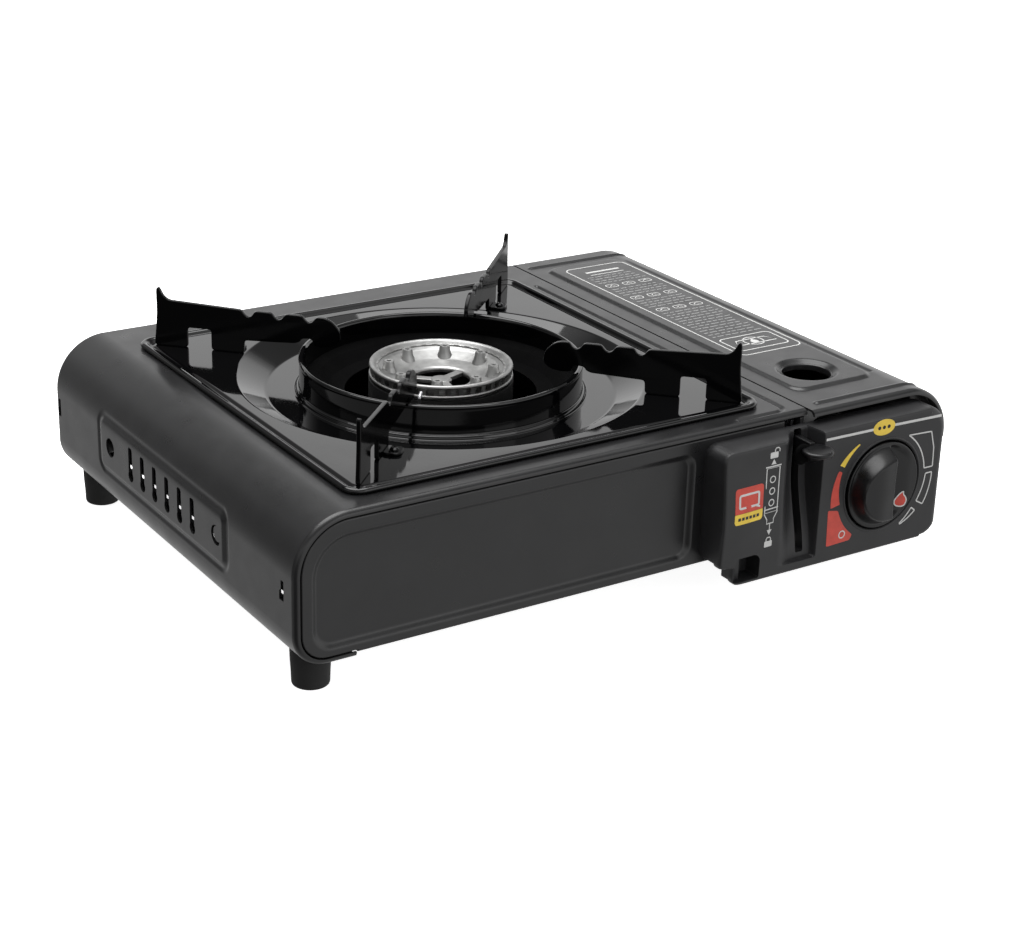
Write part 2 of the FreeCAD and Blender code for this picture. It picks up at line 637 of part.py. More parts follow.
def control_panel():
    """Moulded front cover: knob cup, lever slot in a scooped face, stepped lower left corner."""
    face = (PANEL_FACE_Y, FRONT_Y)
    panel = front_slab(PANEL_X, PANEL_Z, [6, 8, 12, 3], face)
    panel = panel.cut(box((0, 36.5), (-200, 0), (0, 19)))
    inner_y = (PANEL_FACE_Y + PANEL_WALL, FRONT_Y + 5)
    panel = panel.cut(front_slab((33, 56), (21.5, 71.5), [2] * 4, inner_y))
    panel = panel.cut(front_slab((STEP_X + PANEL_WALL, 157.5), (11.5, 71.5), [5, 6, 10, 2], inner_y))
    scoop = [(58, PANEL_FACE_Y - 1), (70, SCOOP_Y), (STEP_X, SCOOP_Y), (STEP_X, PANEL_FACE_Y - 1)]
    panel = panel.cut(plan_prism(scoop, (14, 80)))
    panel = panel.cut(box(SLOT_X, (-130, -100), SLOT_Z))
    panel = panel.cut(front_slab((39.7, 53.7), (10.8, 22.8), [1, 1, 4, 1], (-130, -114)))
    x, z = KNOB_X, KNOB_Z
    cup = rod(CUP_RADIUS + 1.6, (x, PANEL_FACE_Y, z), (x, CUP_FLOOR_Y + 2.2, z))
    pieces = [panel, cup]
    for sx, sz in PANEL_SCREWS:
        pieces.append(rod(3.4, (sx, PANEL_FACE_Y + 1, sz), (sx, FRONT_Y, sz)))
    panel = fuse(pieces)
    panel = panel.cut(rod(CUP_RADIUS, (x, -130, z), (x, CUP_FLOOR_Y + 0.4, z)))
    panel = panel.cut(rod(6, (x, -130, z), (x, -105, z)))
    for sx, sz in PANEL_SCREWS:
        panel = panel.cut(rod(1.6, (sx, -119, sz), (sx, -105, sz)))
    return panel


def panel_screws():
    """Four screws through the front plate into the moulding's bosses."""
    back = FRONT_Y + FLANGE_BACK
    screws = []
    for x, z in PANEL_SCREWS:
        head = rod(3, (x, back, z), (x, back + 1.5, z))
        screws.append(fuse([head, rod(1.5, (x, -118.5, z), (x, back + 0.5, z))]))
    return Part.makeCompound(screws)


def control_knob():
    """Round knob: low disc with a raised D-shaped grip and a finger scoop beside it."""
    x, z = KNOB_X, KNOB_Z
    disc = rod(KNOB_RADIUS, (x, KNOB_BASE_Y - 0.8, z), (x, KNOB_DISC_Y, z))
    grip = rod(KNOB_RADIUS - 1.2, (x, KNOB_DISC_Y, z), (x, FRONTMOST_Y + 3, z))
    grip = grip.common(box((x - 30, x + 2.5), (-200, 0), (0, 100)))
    ridge = front_slab((x - 13, x - 1), (z - 14, z + 14), [5.9] * 4, (FRONTMOST_Y, FRONTMOST_Y + 4))
    knob = fuse([disc, grip, ridge])
    return knob.cut(rod(SPINDLE_RADIUS, (x, KNOB_DISC_Y + 3, z), (x, -100, z)))


def valve_spindle():
    """Steel spindle from the knob into the valve block."""
    x, z = KNOB_X, KNOB_Z
    return rod(SPINDLE_RADIUS, (x, KNOB_DISC_Y + 3, z), (x, -90, z))


def igniter_cam():
    """Plastic cam on the spindle that trips the igniter."""
    x, z = KNOB_X, KNOB_Z
    cam = fuse([rod(8, (x, -106.4, z), (x, -100, z)), box((x, x + 12), (-104, -101), (z - 3, z + 3))])
    return cam.cut(rod(SPINDLE_RADIUS, (x, -110, z), (x, -95, z)))


def lock_lever():
    """Thumb lever: round hub, a flat round tab and the stem that passes through the slot."""
    x, z = LEVER_X, LEVER_Z
    hub = rod(5.6, (x, -123, z), (x, SCOOP_Y - 0.6, z))
    stem = box((x - 1.6, x + 1.6), (-120, -98), (z - 4, z + 4))
    tab = rod(6.4, (x + 3, -129.6, z - 0.5), (x + 3, -129.6, z + 2))
    web = box((x - 2, x + 5), (-131, -120), (z - 4, z + 0.5))
    return fuse([hub, stem, tab, web])


def lock_slider():
    """Steel plate behind the front, riveted to the lever's stem, with the cam pin."""
    plate = box((LEVER_X + 1.6, LEVER_X + 3.2), (-106.5, -94), (65, 75))
    pin = rod(CAM_PIN_RADIUS, (LEVER_X + 3, CAM_PIN_Y, CAM_PIN_Z), (91, CAM_PIN_Y, CAM_PIN_Z))
    return fuse([plate, pin])


def cartridge_yoke():
    """Cam plate with a slanted slot, and the fork that draws the cartridge to its seat."""
    plate = box((88.3, 89.8), (-101.4, -86.5), (20, 74))
    arm = box((88.3, 89.8), (-87, -65.5), (58, 68))
    fork = box((88.3, 145), (-67, -65.5), (53, 68))
    fork = fork.cut(rod(18, (CARTRIDGE_X, -80, CARTRIDGE_Z), (CARTRIDGE_X, -50, CARTRIDGE_Z)))
    yoke = fuse([plate, arm, fork])
    half = CAM_PIN_RADIUS + 0.35
    high = (CAM_PIN_Y, CAM_PIN_Z)
    low = (CAM_PIN_Y + YOKE_TRAVEL, CAM_PIN_Z - LEVER_TRAVEL)
    ends = [rod(half, (80, y, z), (100, y, z)) for y, z in (high, low)]
    length = math.hypot(high[0] - low[0], high[1] - low[1])
    channel = box((80, 100), (-half, half), (0, length))
    tilt = math.degrees(math.atan2(YOKE_TRAVEL, LEVER_TRAVEL))
    channel.rotate(V(0, 0, 0), V(1, 0, 0), tilt)
    channel.translate(V(0, low[0], low[1]))
    for cut in ends + [channel]:
        yoke = yoke.cut(cut)
    return yoke


# ---------------------------------------------------------------- all sub-parts

def all_parts():
    """Every sub-part by name."""
    parts = {
        "body_shell": body_shell(),
        "front_panel": front_panel(),
        "rear_panel": rear_panel(),
        "base_pan": base_pan(),
        "bay_divider": bay_divider(),
        "bay_guard": bay_guard(),
        "heat_shield": heat_shield(),
        "foot_screws": foot_screws(),
        "cartridge_lid": cartridge_lid(),
        "hinge_pins": hinge_pins(),
        "gas_valve": gas_valve(),
        "regulator": regulator(),
        "cartridge_seat": cartridge_seat(),
        "gas_jet": gas_jet(),
        "mixing_tube": mixing_tube(),
        "burner_bowl": burner_bowl(),
        "burner_head": burner_head(),
        "burner_bracket": burner_bracket(),
        "burner_screws": burner_screws(),
        "electrode_bracket": electrode_bracket(),
        "electrode_insulator": electrode_insulator(),
        "electrode_rod": electrode_rod(),
        "piezo_igniter": piezo_igniter(),
        "ignition_lead": ignition_lead(),
        "drip_tray": drip_tray(),
        "control_panel": control_panel(),
        "panel_screws": panel_screws(),
        "control_knob": control_knob(),
        "valve_spindle": valve_spindle(),
        "igniter_cam": igniter_cam(),
        "lock_lever": lock_lever(),
        "lock_slider": lock_slider(),
        "cartridge_yoke": cartridge_yoke(),
    }
    for side, x_sign in (("left", -1), ("right", 1)):
        for end, y in zip(("front", "rear"), FOOT_Y):
            parts[f"foot_{end}_{side}"] = foot(x_sign, y)
    arms = {"front_left": 225, "front_right": 315, "rear_right": 45, "rear_left": 135}
    for corner, angle in arms.items():
        parts[f"support_arm_{corner}"] = support_arm(angle)
    return parts


os.makedirs("parts", exist_ok=True)
for name, shape in all_parts().items():
    shape.exportStep(f"parts/{name}.step")
    solids = shape.Solids
    print(f"{name}: {len(solids)} solid(s), valid {shape.isValid()}, {shape.Volume:.0f} mm3")
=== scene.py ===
"""Camping stove: the looks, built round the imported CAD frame.

Points and sizes are millimetres in the row frame: +X to the cartridge side, +Y to the back,
+Z up. They become metres when a mesh is made.
"""
import bmesh
import bpy
import json
import math
import numpy as np
from mathutils import Matrix, Vector
from mathutils.geometry import tessellate_polygon


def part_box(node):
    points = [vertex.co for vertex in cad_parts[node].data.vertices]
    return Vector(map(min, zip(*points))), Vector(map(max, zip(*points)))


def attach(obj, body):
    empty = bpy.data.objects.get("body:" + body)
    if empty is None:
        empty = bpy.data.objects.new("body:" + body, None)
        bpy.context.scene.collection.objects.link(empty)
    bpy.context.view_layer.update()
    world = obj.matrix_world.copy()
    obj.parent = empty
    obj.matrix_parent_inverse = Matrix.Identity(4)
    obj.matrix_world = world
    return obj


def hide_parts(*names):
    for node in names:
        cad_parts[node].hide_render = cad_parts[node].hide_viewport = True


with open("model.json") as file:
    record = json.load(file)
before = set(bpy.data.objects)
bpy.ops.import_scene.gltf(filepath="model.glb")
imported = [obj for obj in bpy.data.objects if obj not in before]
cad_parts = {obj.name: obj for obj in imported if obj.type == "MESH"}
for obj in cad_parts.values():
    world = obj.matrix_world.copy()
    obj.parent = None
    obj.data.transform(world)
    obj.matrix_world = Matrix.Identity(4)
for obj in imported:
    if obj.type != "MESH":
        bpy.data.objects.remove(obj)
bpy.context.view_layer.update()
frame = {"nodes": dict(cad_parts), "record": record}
nodes = frame["nodes"]
MM = 0.001


def corners(node):
    """Lowest and highest corner of a CAD node, in millimetres."""
    low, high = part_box(node)
    return [c / MM for c in low], [c / MM for c in high]


SHELL_LOW, SHELL_HIGH = corners("body_shell")
LID_LOW, LID_HIGH = corners("cartridge_lid")
TRAY_LOW, TRAY_HIGH = corners("drip_tray")
KNOB_LOW, KNOB_HIGH = corners("control_knob")
PANEL_LOW, PANEL_HIGH = corners("control_panel")
LEVER_LOW = corners("lock_lever")[0]
HEAD_HIGH = corners("burner_head")[1]
ARM_HIGH = corners("support_arm_front_left")[1]

# Casing
RIGHT_X = LID_HIGH[0]
LEFT_X = -RIGHT_X
FRONT_Y, BACK_Y = SHELL_LOW[1], SHELL_HIGH[1]
LIP_Z, DECK_Z = SHELL_LOW[2], SHELL_HIGH[2]
DECK_END_X = SHELL_HIGH[0]
LIP_END_X = -142.0
PAN_Z = 17.0
TOP_RADIUS = 25.0
BOTTOM_RADIUS = 15.0
EDGE_ROUND = 2.5
RIM = 2.6
SHEET = 1.0
PANEL_GAP = 0.6
PANEL_THICK = 2.1
PANEL_ROLL = 0.7
FIELD_SOFT = 3.6
FIELD_DEPTH = 1.8
END_FIELD_Y = (-47.7, 81.5)
END_FIELD_Z = (36.0, 59.3)
END_FIELD_RISE = 0.5
SIDE_SLOTS = 6
SIDE_SLOT_PITCH = 12.9
GROOVE_X = 78.3
GROOVE_Y = -105.6
GROOVE_START_X = 52.0
GROOVE_END_Y = 97.0
GROOVE_DEPTH = 0.8
FOOT_X = 155.0
FOOT_Y = (-94.5, 120.5)

# Lid
PLATEAU_X = (97.0, 143.0)
PLATEAU_Y = (-91.0, 118.0)
LID_HOLE = (118.9, -70.8)
LID_HOLE_RADIUS = 11.8
LABEL_Z = LID_HIGH[2]
HINGE_X = 164.0
HINGE_Z = 50.0
HINGE_HOLE_RADIUS = 2.05
EAR_RADIUS = 5.5

# Tray, burner and pan supports
CENTRE_X = (TRAY_LOW[0] + TRAY_HIGH[0]) / 2
CENTRE_Y = (TRAY_LOW[1] + TRAY_HIGH[1]) / 2
TRAY_HALF = (TRAY_HIGH[0] - TRAY_LOW[0]) / 2
TRAY_PLATE_Z = 81.4
TRAY_RIM_Z = 82.6
HEAD_TOP = HEAD_HIGH[2]
HEAD_RADIUS = 33.0
PORTS = 36
BOSSES = 8
BOSS_RING = 24.0
BOSS_START = 10
SPOKES = 3
SPOKE_START = 20
ARM_TOP = ARM_HIGH[2]
ARM_ANGLES = {"front_left": 225, "front_right": 315, "rear_right": 45, "rear_left": 135}

# Controls
FACE_Y = PANEL_LOW[1]
PANEL_LEFT, PANEL_RIGHT = PANEL_LOW[0], PANEL_HIGH[0]
PANEL_BOTTOM, PANEL_TOP = PANEL_LOW[2], PANEL_HIGH[2]
STEP_X = 86.0
LOW_STEP_X = 38.6
LOW_STEP_Z = 19.0
SCOOP_START = 63.5
SCOOP_LOW_Z = 13.5
SCOOP_LOW_DEPTH = 2.8
SCOOP_ADDED_DEPTH = 7.6
PANEL_BULGE = 1.8
SLOT_X = (76.7, 81.0)
SLOT_Z = (16.5, 73.5)
CUP_RADIUS = 21.8
CUP_FLOOR_Y = -116.5
KNOB_X = (KNOB_LOW[0] + KNOB_HIGH[0]) / 2
KNOB_Z = (KNOB_LOW[2] + KNOB_HIGH[2]) / 2
KNOB_RADIUS = (KNOB_HIGH[2] - KNOB_LOW[2]) / 2
KNOB_DISC_Y = -125.0
KNOB_GRIP_HEIGHT = 7.6
KNOB_HOLLOW_DEPTH = 3.4
LEVER_Z = 67.6
TAB_RADIUS = 7.4
INK = 0.06

# Materials
NOISE_RANGE = (0.3, 0.7)
SMOOTHEST = 0.02
COAT_ROUGHNESS = 0.1

# Light. The room's brightness by height, from 0 straight down to 1 straight up; the patches that dim it,
# each a direction, the cosines to it where dimming starts and ends, and the share of light left;
# and the lamps, each a place, a size in metres and a power in watts.
ROOM_BANDS = ((0.0, 0.5), (0.3, 0.75), (0.48, 1.0), (0.55, 1.2), (0.69, 1.2),
              (0.745, 0.22), (0.84, 0.25), (0.9, 0.9), (1.0, 1.2))
DIM_PATCHES = (((-0.77, -0.51, -0.37), 0.7, 0.92, 0.1), ((-0.82, 0.55, 0.15), 0.65, 0.9, 0.15))
LAMPS = (("overhead", (-100, 250, 1500), 1.5, 24), ("left_side", (-1600, 300, 900), 1.1, 1),
         ("front", (500, -1700, 900), 0.9, 2))
FLOOR_GLOW = 0.9
FLOOR_HALF = 9000.0

# Camera
VIEW_AZIMUTH = 33.367
VIEW_ELEVATION = 22.356
VIEW_ROLL = 1.698
VIEW_PLACE = (-520.3, -793.8, 422.0)
VIEW_LENS = 76.31


# ---------------------------------------------------------------- materials

def add_node(tree, kind, values, sources=(), operation=None):
    """Shader node with these input values, and its other inputs linked to these sources."""
    made = tree.nodes.new("ShaderNode" + kind)
    if operation:
        made.operation = operation
    for name, value in values.items():
        made.inputs[name].default_value = value
    for name, source in dict(sources).items():
        tree.links.new(source, made.inputs[name])
    return made


def material(name, colour, roughness, metallic=0.0, specular=0.5, coat=0.0, tint=0.12, tint_scale=60.0,
             spread=0.06, spread_scale=90.0, grain=0.0, grain_scale=1800.0, wave=0.0, wave_scale=14.0):
    """Surface whose colour, roughness and relief all vary a little.

    tint is the share by which the colour varies and spread the range of the roughness.
    grain and wave are the heights in millimetres of the fine and the broad relief.
    """
    made = bpy.data.materials.new(name)
    made.use_nodes = True
    tree = made.node_tree
    shader = tree.nodes["Principled BSDF"]
    shader.inputs["Metallic"].default_value = metallic
    shader.inputs["Specular IOR Level"].default_value = specular
    shader.inputs["Coat Weight"].default_value = coat
    shader.inputs["Coat Roughness"].default_value = COAT_ROUGHNESS
    place = tree.nodes.new("ShaderNodeTexCoord").outputs["Object"]

    def noise(scale, detail=3.0):
        made_noise = add_node(tree, "TexNoise", {"Scale": scale, "Detail": detail}, {"Vector": place})
        return made_noise.outputs["Fac"]

    low, high = NOISE_RANGE
    ramp = add_node(tree, "ValToRGB", {}, {"Fac": noise(tint_scale)})
    for stop, position, change in zip(ramp.color_ramp.elements, NOISE_RANGE, (1 - tint, 1 + tint)):
        stop.position = position
        stop.color = [min(1, c * change) for c in colour] + [1]
    tree.links.new(ramp.outputs["Color"], shader.inputs["Base Color"])
    span = {"From Min": low, "From Max": high, "To Min": max(SMOOTHEST, roughness - spread),
            "To Max": roughness + spread}
    rough = add_node(tree, "MapRange", span, {"Value": noise(spread_scale)})
    tree.links.new(rough.outputs["Result"], shader.inputs["Roughness"])
    normal = {}
    for height, scale, detail in ((wave, wave_scale, 1.0), (grain, grain_scale, 2.0)):
        if height:
            sources = {"Height": noise(scale, detail), **normal}
            bump = add_node(tree, "Bump", {"Distance": height * MM}, sources)
            normal = {"Normal": bump.outputs["Normal"]}
    if normal:
        tree.links.new(normal["Normal"], shader.inputs["Normal"])
    return made


LOOKS = {
    "casing_paint": dict(colour=(0.011, 0.011, 0.0115), roughness=0.3, spread=0.03, grain=0.012,
                         grain_scale=1500, wave=0.12, wave_scale=11),
    "black_enamel": dict(colour=(0.001, 0.001, 0.0012), roughness=0.06, spread=0.03, grain=0.004,
                         grain_scale=420, wave=0.1, wave_scale=26),
    # Near-black enamel that hardly reflects: painted shade for the tray's inner well and the lever's hub,
    # which lie in shadow.
    "shade_black_enamel": dict(colour=(0.0015, 0.0015, 0.0016), roughness=0.8, specular=0.04, grain=0.01,
                         grain_scale=600),
    "arm_enamel": dict(colour=(0.0012, 0.0012, 0.0014), roughness=0.12, specular=0.2, spread=0.05,
                       grain=0.006, grain_scale=500, wave=0.1, wave_scale=40),
    "zinc_steel": dict(colour=(0.5, 0.51, 0.53), roughness=0.34, metallic=1, spread=0.1, grain=0.01,
                       grain_scale=900, tint=0.16),
    "screw_steel": dict(colour=(0.58, 0.58, 0.6), roughness=0.26, metallic=1, grain=0.005),
    "cast_aluminium": dict(colour=(0.34, 0.34, 0.335), roughness=0.42, metallic=1, tint=0.14,
                           tint_scale=240, spread=0.08, grain=0.06, grain_scale=1300),
    # Dark casting: painted shade for the burner bowl, darkened because it sits in shadow under the head.
    "dark_casting": dict(colour=(0.03, 0.03, 0.03), roughness=0.6, metallic=0.6, tint=0.2, grain=0.05,
                         grain_scale=1100),
    "brass": dict(colour=(0.72, 0.5, 0.2), roughness=0.28, metallic=1, grain=0.005),
    "black_plastic": dict(colour=(0.017, 0.017, 0.018), roughness=0.45, specular=0.42, spread=0.04,
                          grain=0.02, grain_scale=2400),
    "knob_plastic": dict(colour=(0.004, 0.004, 0.0045), roughness=0.3, specular=0.4, spread=0.04,
                         grain=0.008, grain_scale=1600),
    "black_rubber": dict(colour=(0.012, 0.012, 0.012), roughness=0.72, specular=0.35, grain=0.03,
                         grain_scale=1400),
    "white_ceramic": dict(colour=(0.3, 0.29, 0.27), roughness=0.2, coat=0.4, tint=0.04, grain=0.01),
    "lead_sleeve": dict(colour=(0.5, 0.03, 0.02), roughness=0.5, grain=0.01),
    "igniter_case": dict(colour=(0.06, 0.06, 0.065), roughness=0.5, grain=0.015),
    "white_print": dict(colour=(0.6, 0.6, 0.59), roughness=0.5, tint=0.06, tint_scale=500, grain=0.01),
    "grey_print": dict(colour=(0.3, 0.3, 0.3), roughness=0.5, tint=0.15, tint_scale=900, grain=0.01),
    "red_print": dict(colour=(0.55, 0.055, 0.035), roughness=0.45, tint=0.1, tint_scale=300, grain=0.01),
    "yellow_print": dict(colour=(0.8, 0.57, 0.06), roughness=0.45, tint=0.08, tint_scale=300, grain=0.01),
}
PAINTS = {name: material(name, **look) for name, look in LOOKS.items()}


# ---------------------------------------------------------------- shapes

class Shape:
    """Points and faces of one piece while it is being built."""

    def __init__(self):
        self.points = []
        self.faces = []

    def loft(self, loops, closed=True):
        """Quads between loops with the same number of points."""
        first = len(self.points)
        count = len(loops[0])
        for loop in loops:
            self.points.extend(tuple(p) for p in loop)
        last = count if closed else count - 1
        for row in range(len(loops) - 1):
            a = first + row * count
            for k in range(last):
                n = (k + 1) % count
                self.faces.append((a + k, a + n, a + count + n, a + count + k))
        return self

    def flat(self, outer, holes=()):
        """Flat face inside an outline, round its holes."""
        rings = [list(outer)] + [list(hole) for hole in holes]
        first = len(self.points)
        for ring in rings:
            self.points.extend(tuple(p) for p in ring)
        for triangle in tessellate_polygon([[Vector(p) for p in ring] for ring in rings]):
            self.faces.append(tuple(first + k for k in triangle))
        return self

    def add(self, other):
        """Another shape's points and faces too."""
        first = len(self.points)
        self.points.extend(other.points)
        self.faces.extend(tuple(first + k for k in face) for face in other.faces)
        return self

    def moved(self, change):
        """The same faces with every point changed."""
        self.points = [tuple(change(Vector(p))) for p in self.points]
        return self


def seen_front(x, z, y):
    """Place of an outline drawn in (x, z), at a depth y."""
    return (x, y, z)


def seen_side(y, z, x):
    """Place of an outline drawn in (y, z), at a depth x."""
    return (x, y, z)


def seen_top(x, y, z):
    """Place of an outline drawn in (x, y), at a height z."""
    return (x, y, z)


def rounded_loop(u, v, radii, arc=8, side=10):
    """Points round a rectangle with rounded corners: low-low, high-low, high-high, low-high."""
    centres = []
    for (cu, su), (cv, sv), r in zip([(u[0], 1), (u[1], -1), (u[1], -1), (u[0], 1)],
                                     [(v[0], 1), (v[0], 1), (v[1], -1), (v[1], -1)], radii):
        centres.append((cu + su * r, cv + sv * r, r))
    points = []
    for index, (cu, cv, r) in enumerate(centres):
        start = 180 + 90 * index
        for k in range(arc + 1):
            angle = math.radians(start + 90 * k / arc)
            points.append((cu + r * math.cos(angle), cv + r * math.sin(angle)))
        nu, nv, nr = centres[(index + 1) % 4]
        angle = math.radians(start + 90)
        end = (nu + nr * math.cos(angle), nv + nr * math.sin(angle))
        a = points[-1]
        for k in range(1, side):
            t = k / side
            points.append((a[0] + (end[0] - a[0]) * t, a[1] + (end[1] - a[1]) * t))
    return points


def arc_points(cu, cv, radius, degrees):
    """Points of a circle at the given angles."""
    turns = [math.radians(a) for a in degrees]
    return [(cu + radius * math.cos(t), cv + radius * math.sin(t)) for t in turns]


def at_height(outline, z):
    """The points of a plan outline at one height."""
    return [(x, y, z) for x, y in outline]


def circle(cu, cv, radius, count=48):
    """Points round a circle."""
    turn = 2 * math.pi / count
    return [(cu + radius * math.cos(turn * k), cv + radius * math.sin(turn * k)) for k in range(count)]


def soften(points, reach, steps=4, closed=True):
    """The outline with its corners rounded off."""
    found = []
    last = len(points)
    for k, p in enumerate(points):
        if not closed and k in (0, last - 1):
            found.append(tuple(p))
            continue
        p = Vector(p)
        before = Vector(points[k - 1]) - p
        after = Vector(points[(k + 1) % last]) - p
        a = p + before.normalized() * min(reach, before.length * 0.49)
        b = p + after.normalized() * min(reach, after.length * 0.49)
        for step in range(steps + 1):
            t = step / steps
            found.append(tuple(a * (1 - t) ** 2 + p * 2 * t * (1 - t) + b * t * t))
    return found


def area(outline):
    """Signed area, above zero where the outline runs anticlockwise."""
    total = 0.0
    for (a, b), (c, d) in zip(outline, outline[1:] + outline[:1]):
        total += a * d - b * c
    return total / 2


def inset(outline, distance):
    """The outline drawn in by a small distance."""
    side = 1 if area(outline) > 0 else -1
    found = []
    for k, p in enumerate(outline):
        before = Vector(p) - Vector(outline[k - 1])
        after = Vector(outline[(k + 1) % len(outline)]) - Vector(p)
        if before.length < 1e-6:
            before = after
        if after.length < 1e-6:
            after = before
        total = before.normalized() + after.normalized()
        total = total.normalized() if total.length > 1e-6 else before.normalized()
        lean = max(0.55, total.dot(before.normalized()))
        found.append((p[0] - total.y * side * distance / lean, p[1] + total.x * side * distance / lean))
    return found


def slab(outline, place, low, high, edge=0.0, holes=(), steps=3):
    """Solid with that outline between two depths, its edges rounded by edge."""
    shape = Shape()
    rings = [(list(outline), 1)] + [(list(hole), -1) for hole in holes]
    rows = []
    for step in range(steps + 1):
        turn = math.pi / 2 * step / steps
        rows.append((low + edge * (1 - math.sin(turn)), edge * (1 - math.cos(turn))))
    rows.reverse()
    rows += [(low + high - depth, inward) for depth, inward in reversed(rows)]
    if edge == 0:
        rows = [(low, 0.0), (high, 0.0)]
    ends = ([], [])
    for ring, sign in rings:
        loops = [[place(a, b, depth) for a, b in inset(ring, sign * inward)] for depth, inward in rows]
        shape.loft(loops)
        ends[0].append(loops[0])
        ends[1].append(loops[-1])
    for faces in ends:
        shape.flat(faces[0], faces[1:])
    return shape


def lathe(profile, x=0.0, y=0.0, count=96, closed=False):
    """Surface of revolution about a vertical line, from (radius, height) points."""
    shape = Shape()
    loops = []
    for r, z in profile + (profile[:1] if closed else []):
        loops.append(at_height(circle(x, y, max(r, 0.001), count), z))
    return shape.loft(loops)


def smooth_step(t):
    """0 below 0, 1 above 1, and an S curve between."""
    t = max(0.0, min(1.0, t))
    return t * t * (3 - 2 * t)


def depth_inside(u, v, us, vs, radius):
    """How far a point lies inside a rounded rectangle; below zero outside it."""
    du = abs(u - sum(us) / 2) - (us[1] - us[0]) / 2 + radius
    dv = abs(v - sum(vs) / 2) - (vs[1] - vs[0]) / 2 + radius
    return radius - math.hypot(max(du, 0), max(dv, 0)) - min(max(du, dv), 0)


def stops(*spans):
    """Values along an axis from (low, high, step) spans that follow each other."""
    found = []
    for low, high, step in spans:
        count = max(1, round((high - low) / step))
        found += [low + (high - low) * k / count for k in range(count)]
    return found + [spans[-1][1]]


# ---------------------------------------------------------------- pieces

def bake(piece):
    """Applies a piece's modifiers."""
    mesh = bpy.data.meshes.new_from_object(piece.evaluated_get(bpy.context.evaluated_depsgraph_get()))
    piece.modifiers.clear()
    piece.data = mesh


def make_object(name, shape, merge=0.004):
    """Blender object of a shape, with doubled points merged and faces turned outwards."""
    mesh = bpy.data.meshes.new(name)
    mesh.from_pydata([[c * MM for c in p] for p in shape.points], [], shape.faces)
    made = bmesh.new()
    made.from_mesh(mesh)
    bmesh.ops.remove_doubles(made, verts=made.verts, dist=merge * MM)
    bmesh.ops.dissolve_degenerate(made, dist=0.001 * MM, edges=made.edges)
    bmesh.ops.recalc_face_normals(made, faces=made.faces)
    made.to_mesh(mesh)
    made.free()
    piece = bpy.data.objects.new(name, mesh)
    bpy.context.scene.collection.objects.link(piece)
    return piece


def cut(piece, tool_shape):
    """Takes a closed shape out of a piece."""
    tool = make_object("tool", tool_shape)
    change = piece.modifiers.new("cut", "BOOLEAN")
    change.operation = "DIFFERENCE"
    change.solver = "EXACT"
    change.object = tool
    bpy.context.view_layer.update()
    bake(piece)
    bpy.data.objects.remove(tool)


def finish_piece(piece, paint, body, replaced=(), sharp=38.0):
    """Finish, shading and the CAD body that a piece moves with."""
    piece.data.materials.clear()
    piece.data.materials.append(PAINTS[paint])
    piece.data.polygons.foreach_set("use_smooth", [True] * len(piece.data.polygons))
    piece.data.set_sharp_from_angle(angle=math.radians(sharp))
    weighted = piece.modifiers.new("normals", "WEIGHTED_NORMAL")
    weighted.keep_sharp = True
    weighted.weight = 100
    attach(piece, body)
    if replaced:
        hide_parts(*replaced)
    return piece


# ---------------------------------------------------------------- casing

def line_stations(start, end, values, kind):
    """Stations on a straight run of the casing's outline, at the given x or z values."""
    found = []
    for value in values:
        if start[1] == end[1]:
            found.append((value, start[1], 0.0, -1.0 if start[1] < 40 else 1.0, kind, value))
        else:
            found.append((start[0], value, -1.0 if start[0] < 0 else 1.0, 0.0, kind, value))
    return found


def arc_stations(cx, cz, radius, first, last, steps, kind, at):
    """Stations round a corner of the casing; at gives the along value from the angle."""
    found = []
    for k in range(1, steps):
        angle = math.radians(first + (last - first) * k / steps)
        found.append((cx + radius * math.cos(angle), cz + radius * math.sin(angle),
                      math.cos(angle), math.sin(angle), kind, at(angle)))
    return found


def hemmed_sheet(stations, ys, front, back, relief):
    """Bent sheet whose front and back edges turn in to a rim.

    Each station is a point of the outline, its outward direction, and the value that relief reads.
    """
    steps = 5
    bend = []
    for k in range(steps + 1):
        turn = math.pi / 2 * k / steps
        bend.append((EDGE_ROUND * (1 - math.cos(turn)), EDGE_ROUND * (1 - math.sin(turn))))
    outer = [(front, RIM)] + [(front + along, inward) for along, inward in bend]
    outer += [(y, 0.0) for y in ys]
    outer += [(back - along, inward) for along, inward in reversed(bend)]
    outer.append((back, RIM))
    inner = [(back - SHEET, RIM), (back - SHEET, EDGE_ROUND), (back - EDGE_ROUND, SHEET)]
    inner += [(y, SHEET) for y in reversed(ys)]
    inner += [(front + EDGE_ROUND, SHEET), (front + SHEET, EDGE_ROUND), (front + SHEET, RIM)]
    loops = []
    for x, z, nx, nz, kind, along in stations:
        loop = []
        for y, inward in outer + inner:
            rise = relief(kind, along, y) if front + RIM < y < back - RIM else 0.0
            loop.append((x + nx * (rise - inward), y, z + nz * (rise - inward)))
        loops.append(loop)
    shape = Shape().loft(loops)
    shape.flat(loops[0])
    shape.flat(loops[-1])
    return shape


def groove_distance(x, y):
    """Distance from the L-shaped groove pressed in the deck beside the tray."""
    bend = 5.0
    cx, cy = GROOVE_X - bend, GROOVE_Y + bend
    if x > cx and y < cy:
        return abs(math.hypot(x - cx, y - cy) - bend)
    beside = math.hypot(x - GROOVE_X, max(0.0, y - GROOVE_END_Y, cy - y))
    before = math.hypot(max(0.0, GROOVE_START_X - x, x - cx), y - GROOVE_Y)
    return min(beside, before)


def shell_relief(kind, along, y):
    """Raised field on the left end and the pressed groove in the deck."""
    if kind == "wall":
        inside = depth_inside(y, along, END_FIELD_Y, END_FIELD_Z, 3.5)
        rise = smooth_step((inside + 0.3) / 1.6) - smooth_step(1 - abs(inside + 1.6) / 2.2)
        return END_FIELD_RISE * rise
    if kind == "deck":
        return -GROOVE_DEPTH * smooth_step(1 - groove_distance(along, y) / 1.7)
    return 0.0


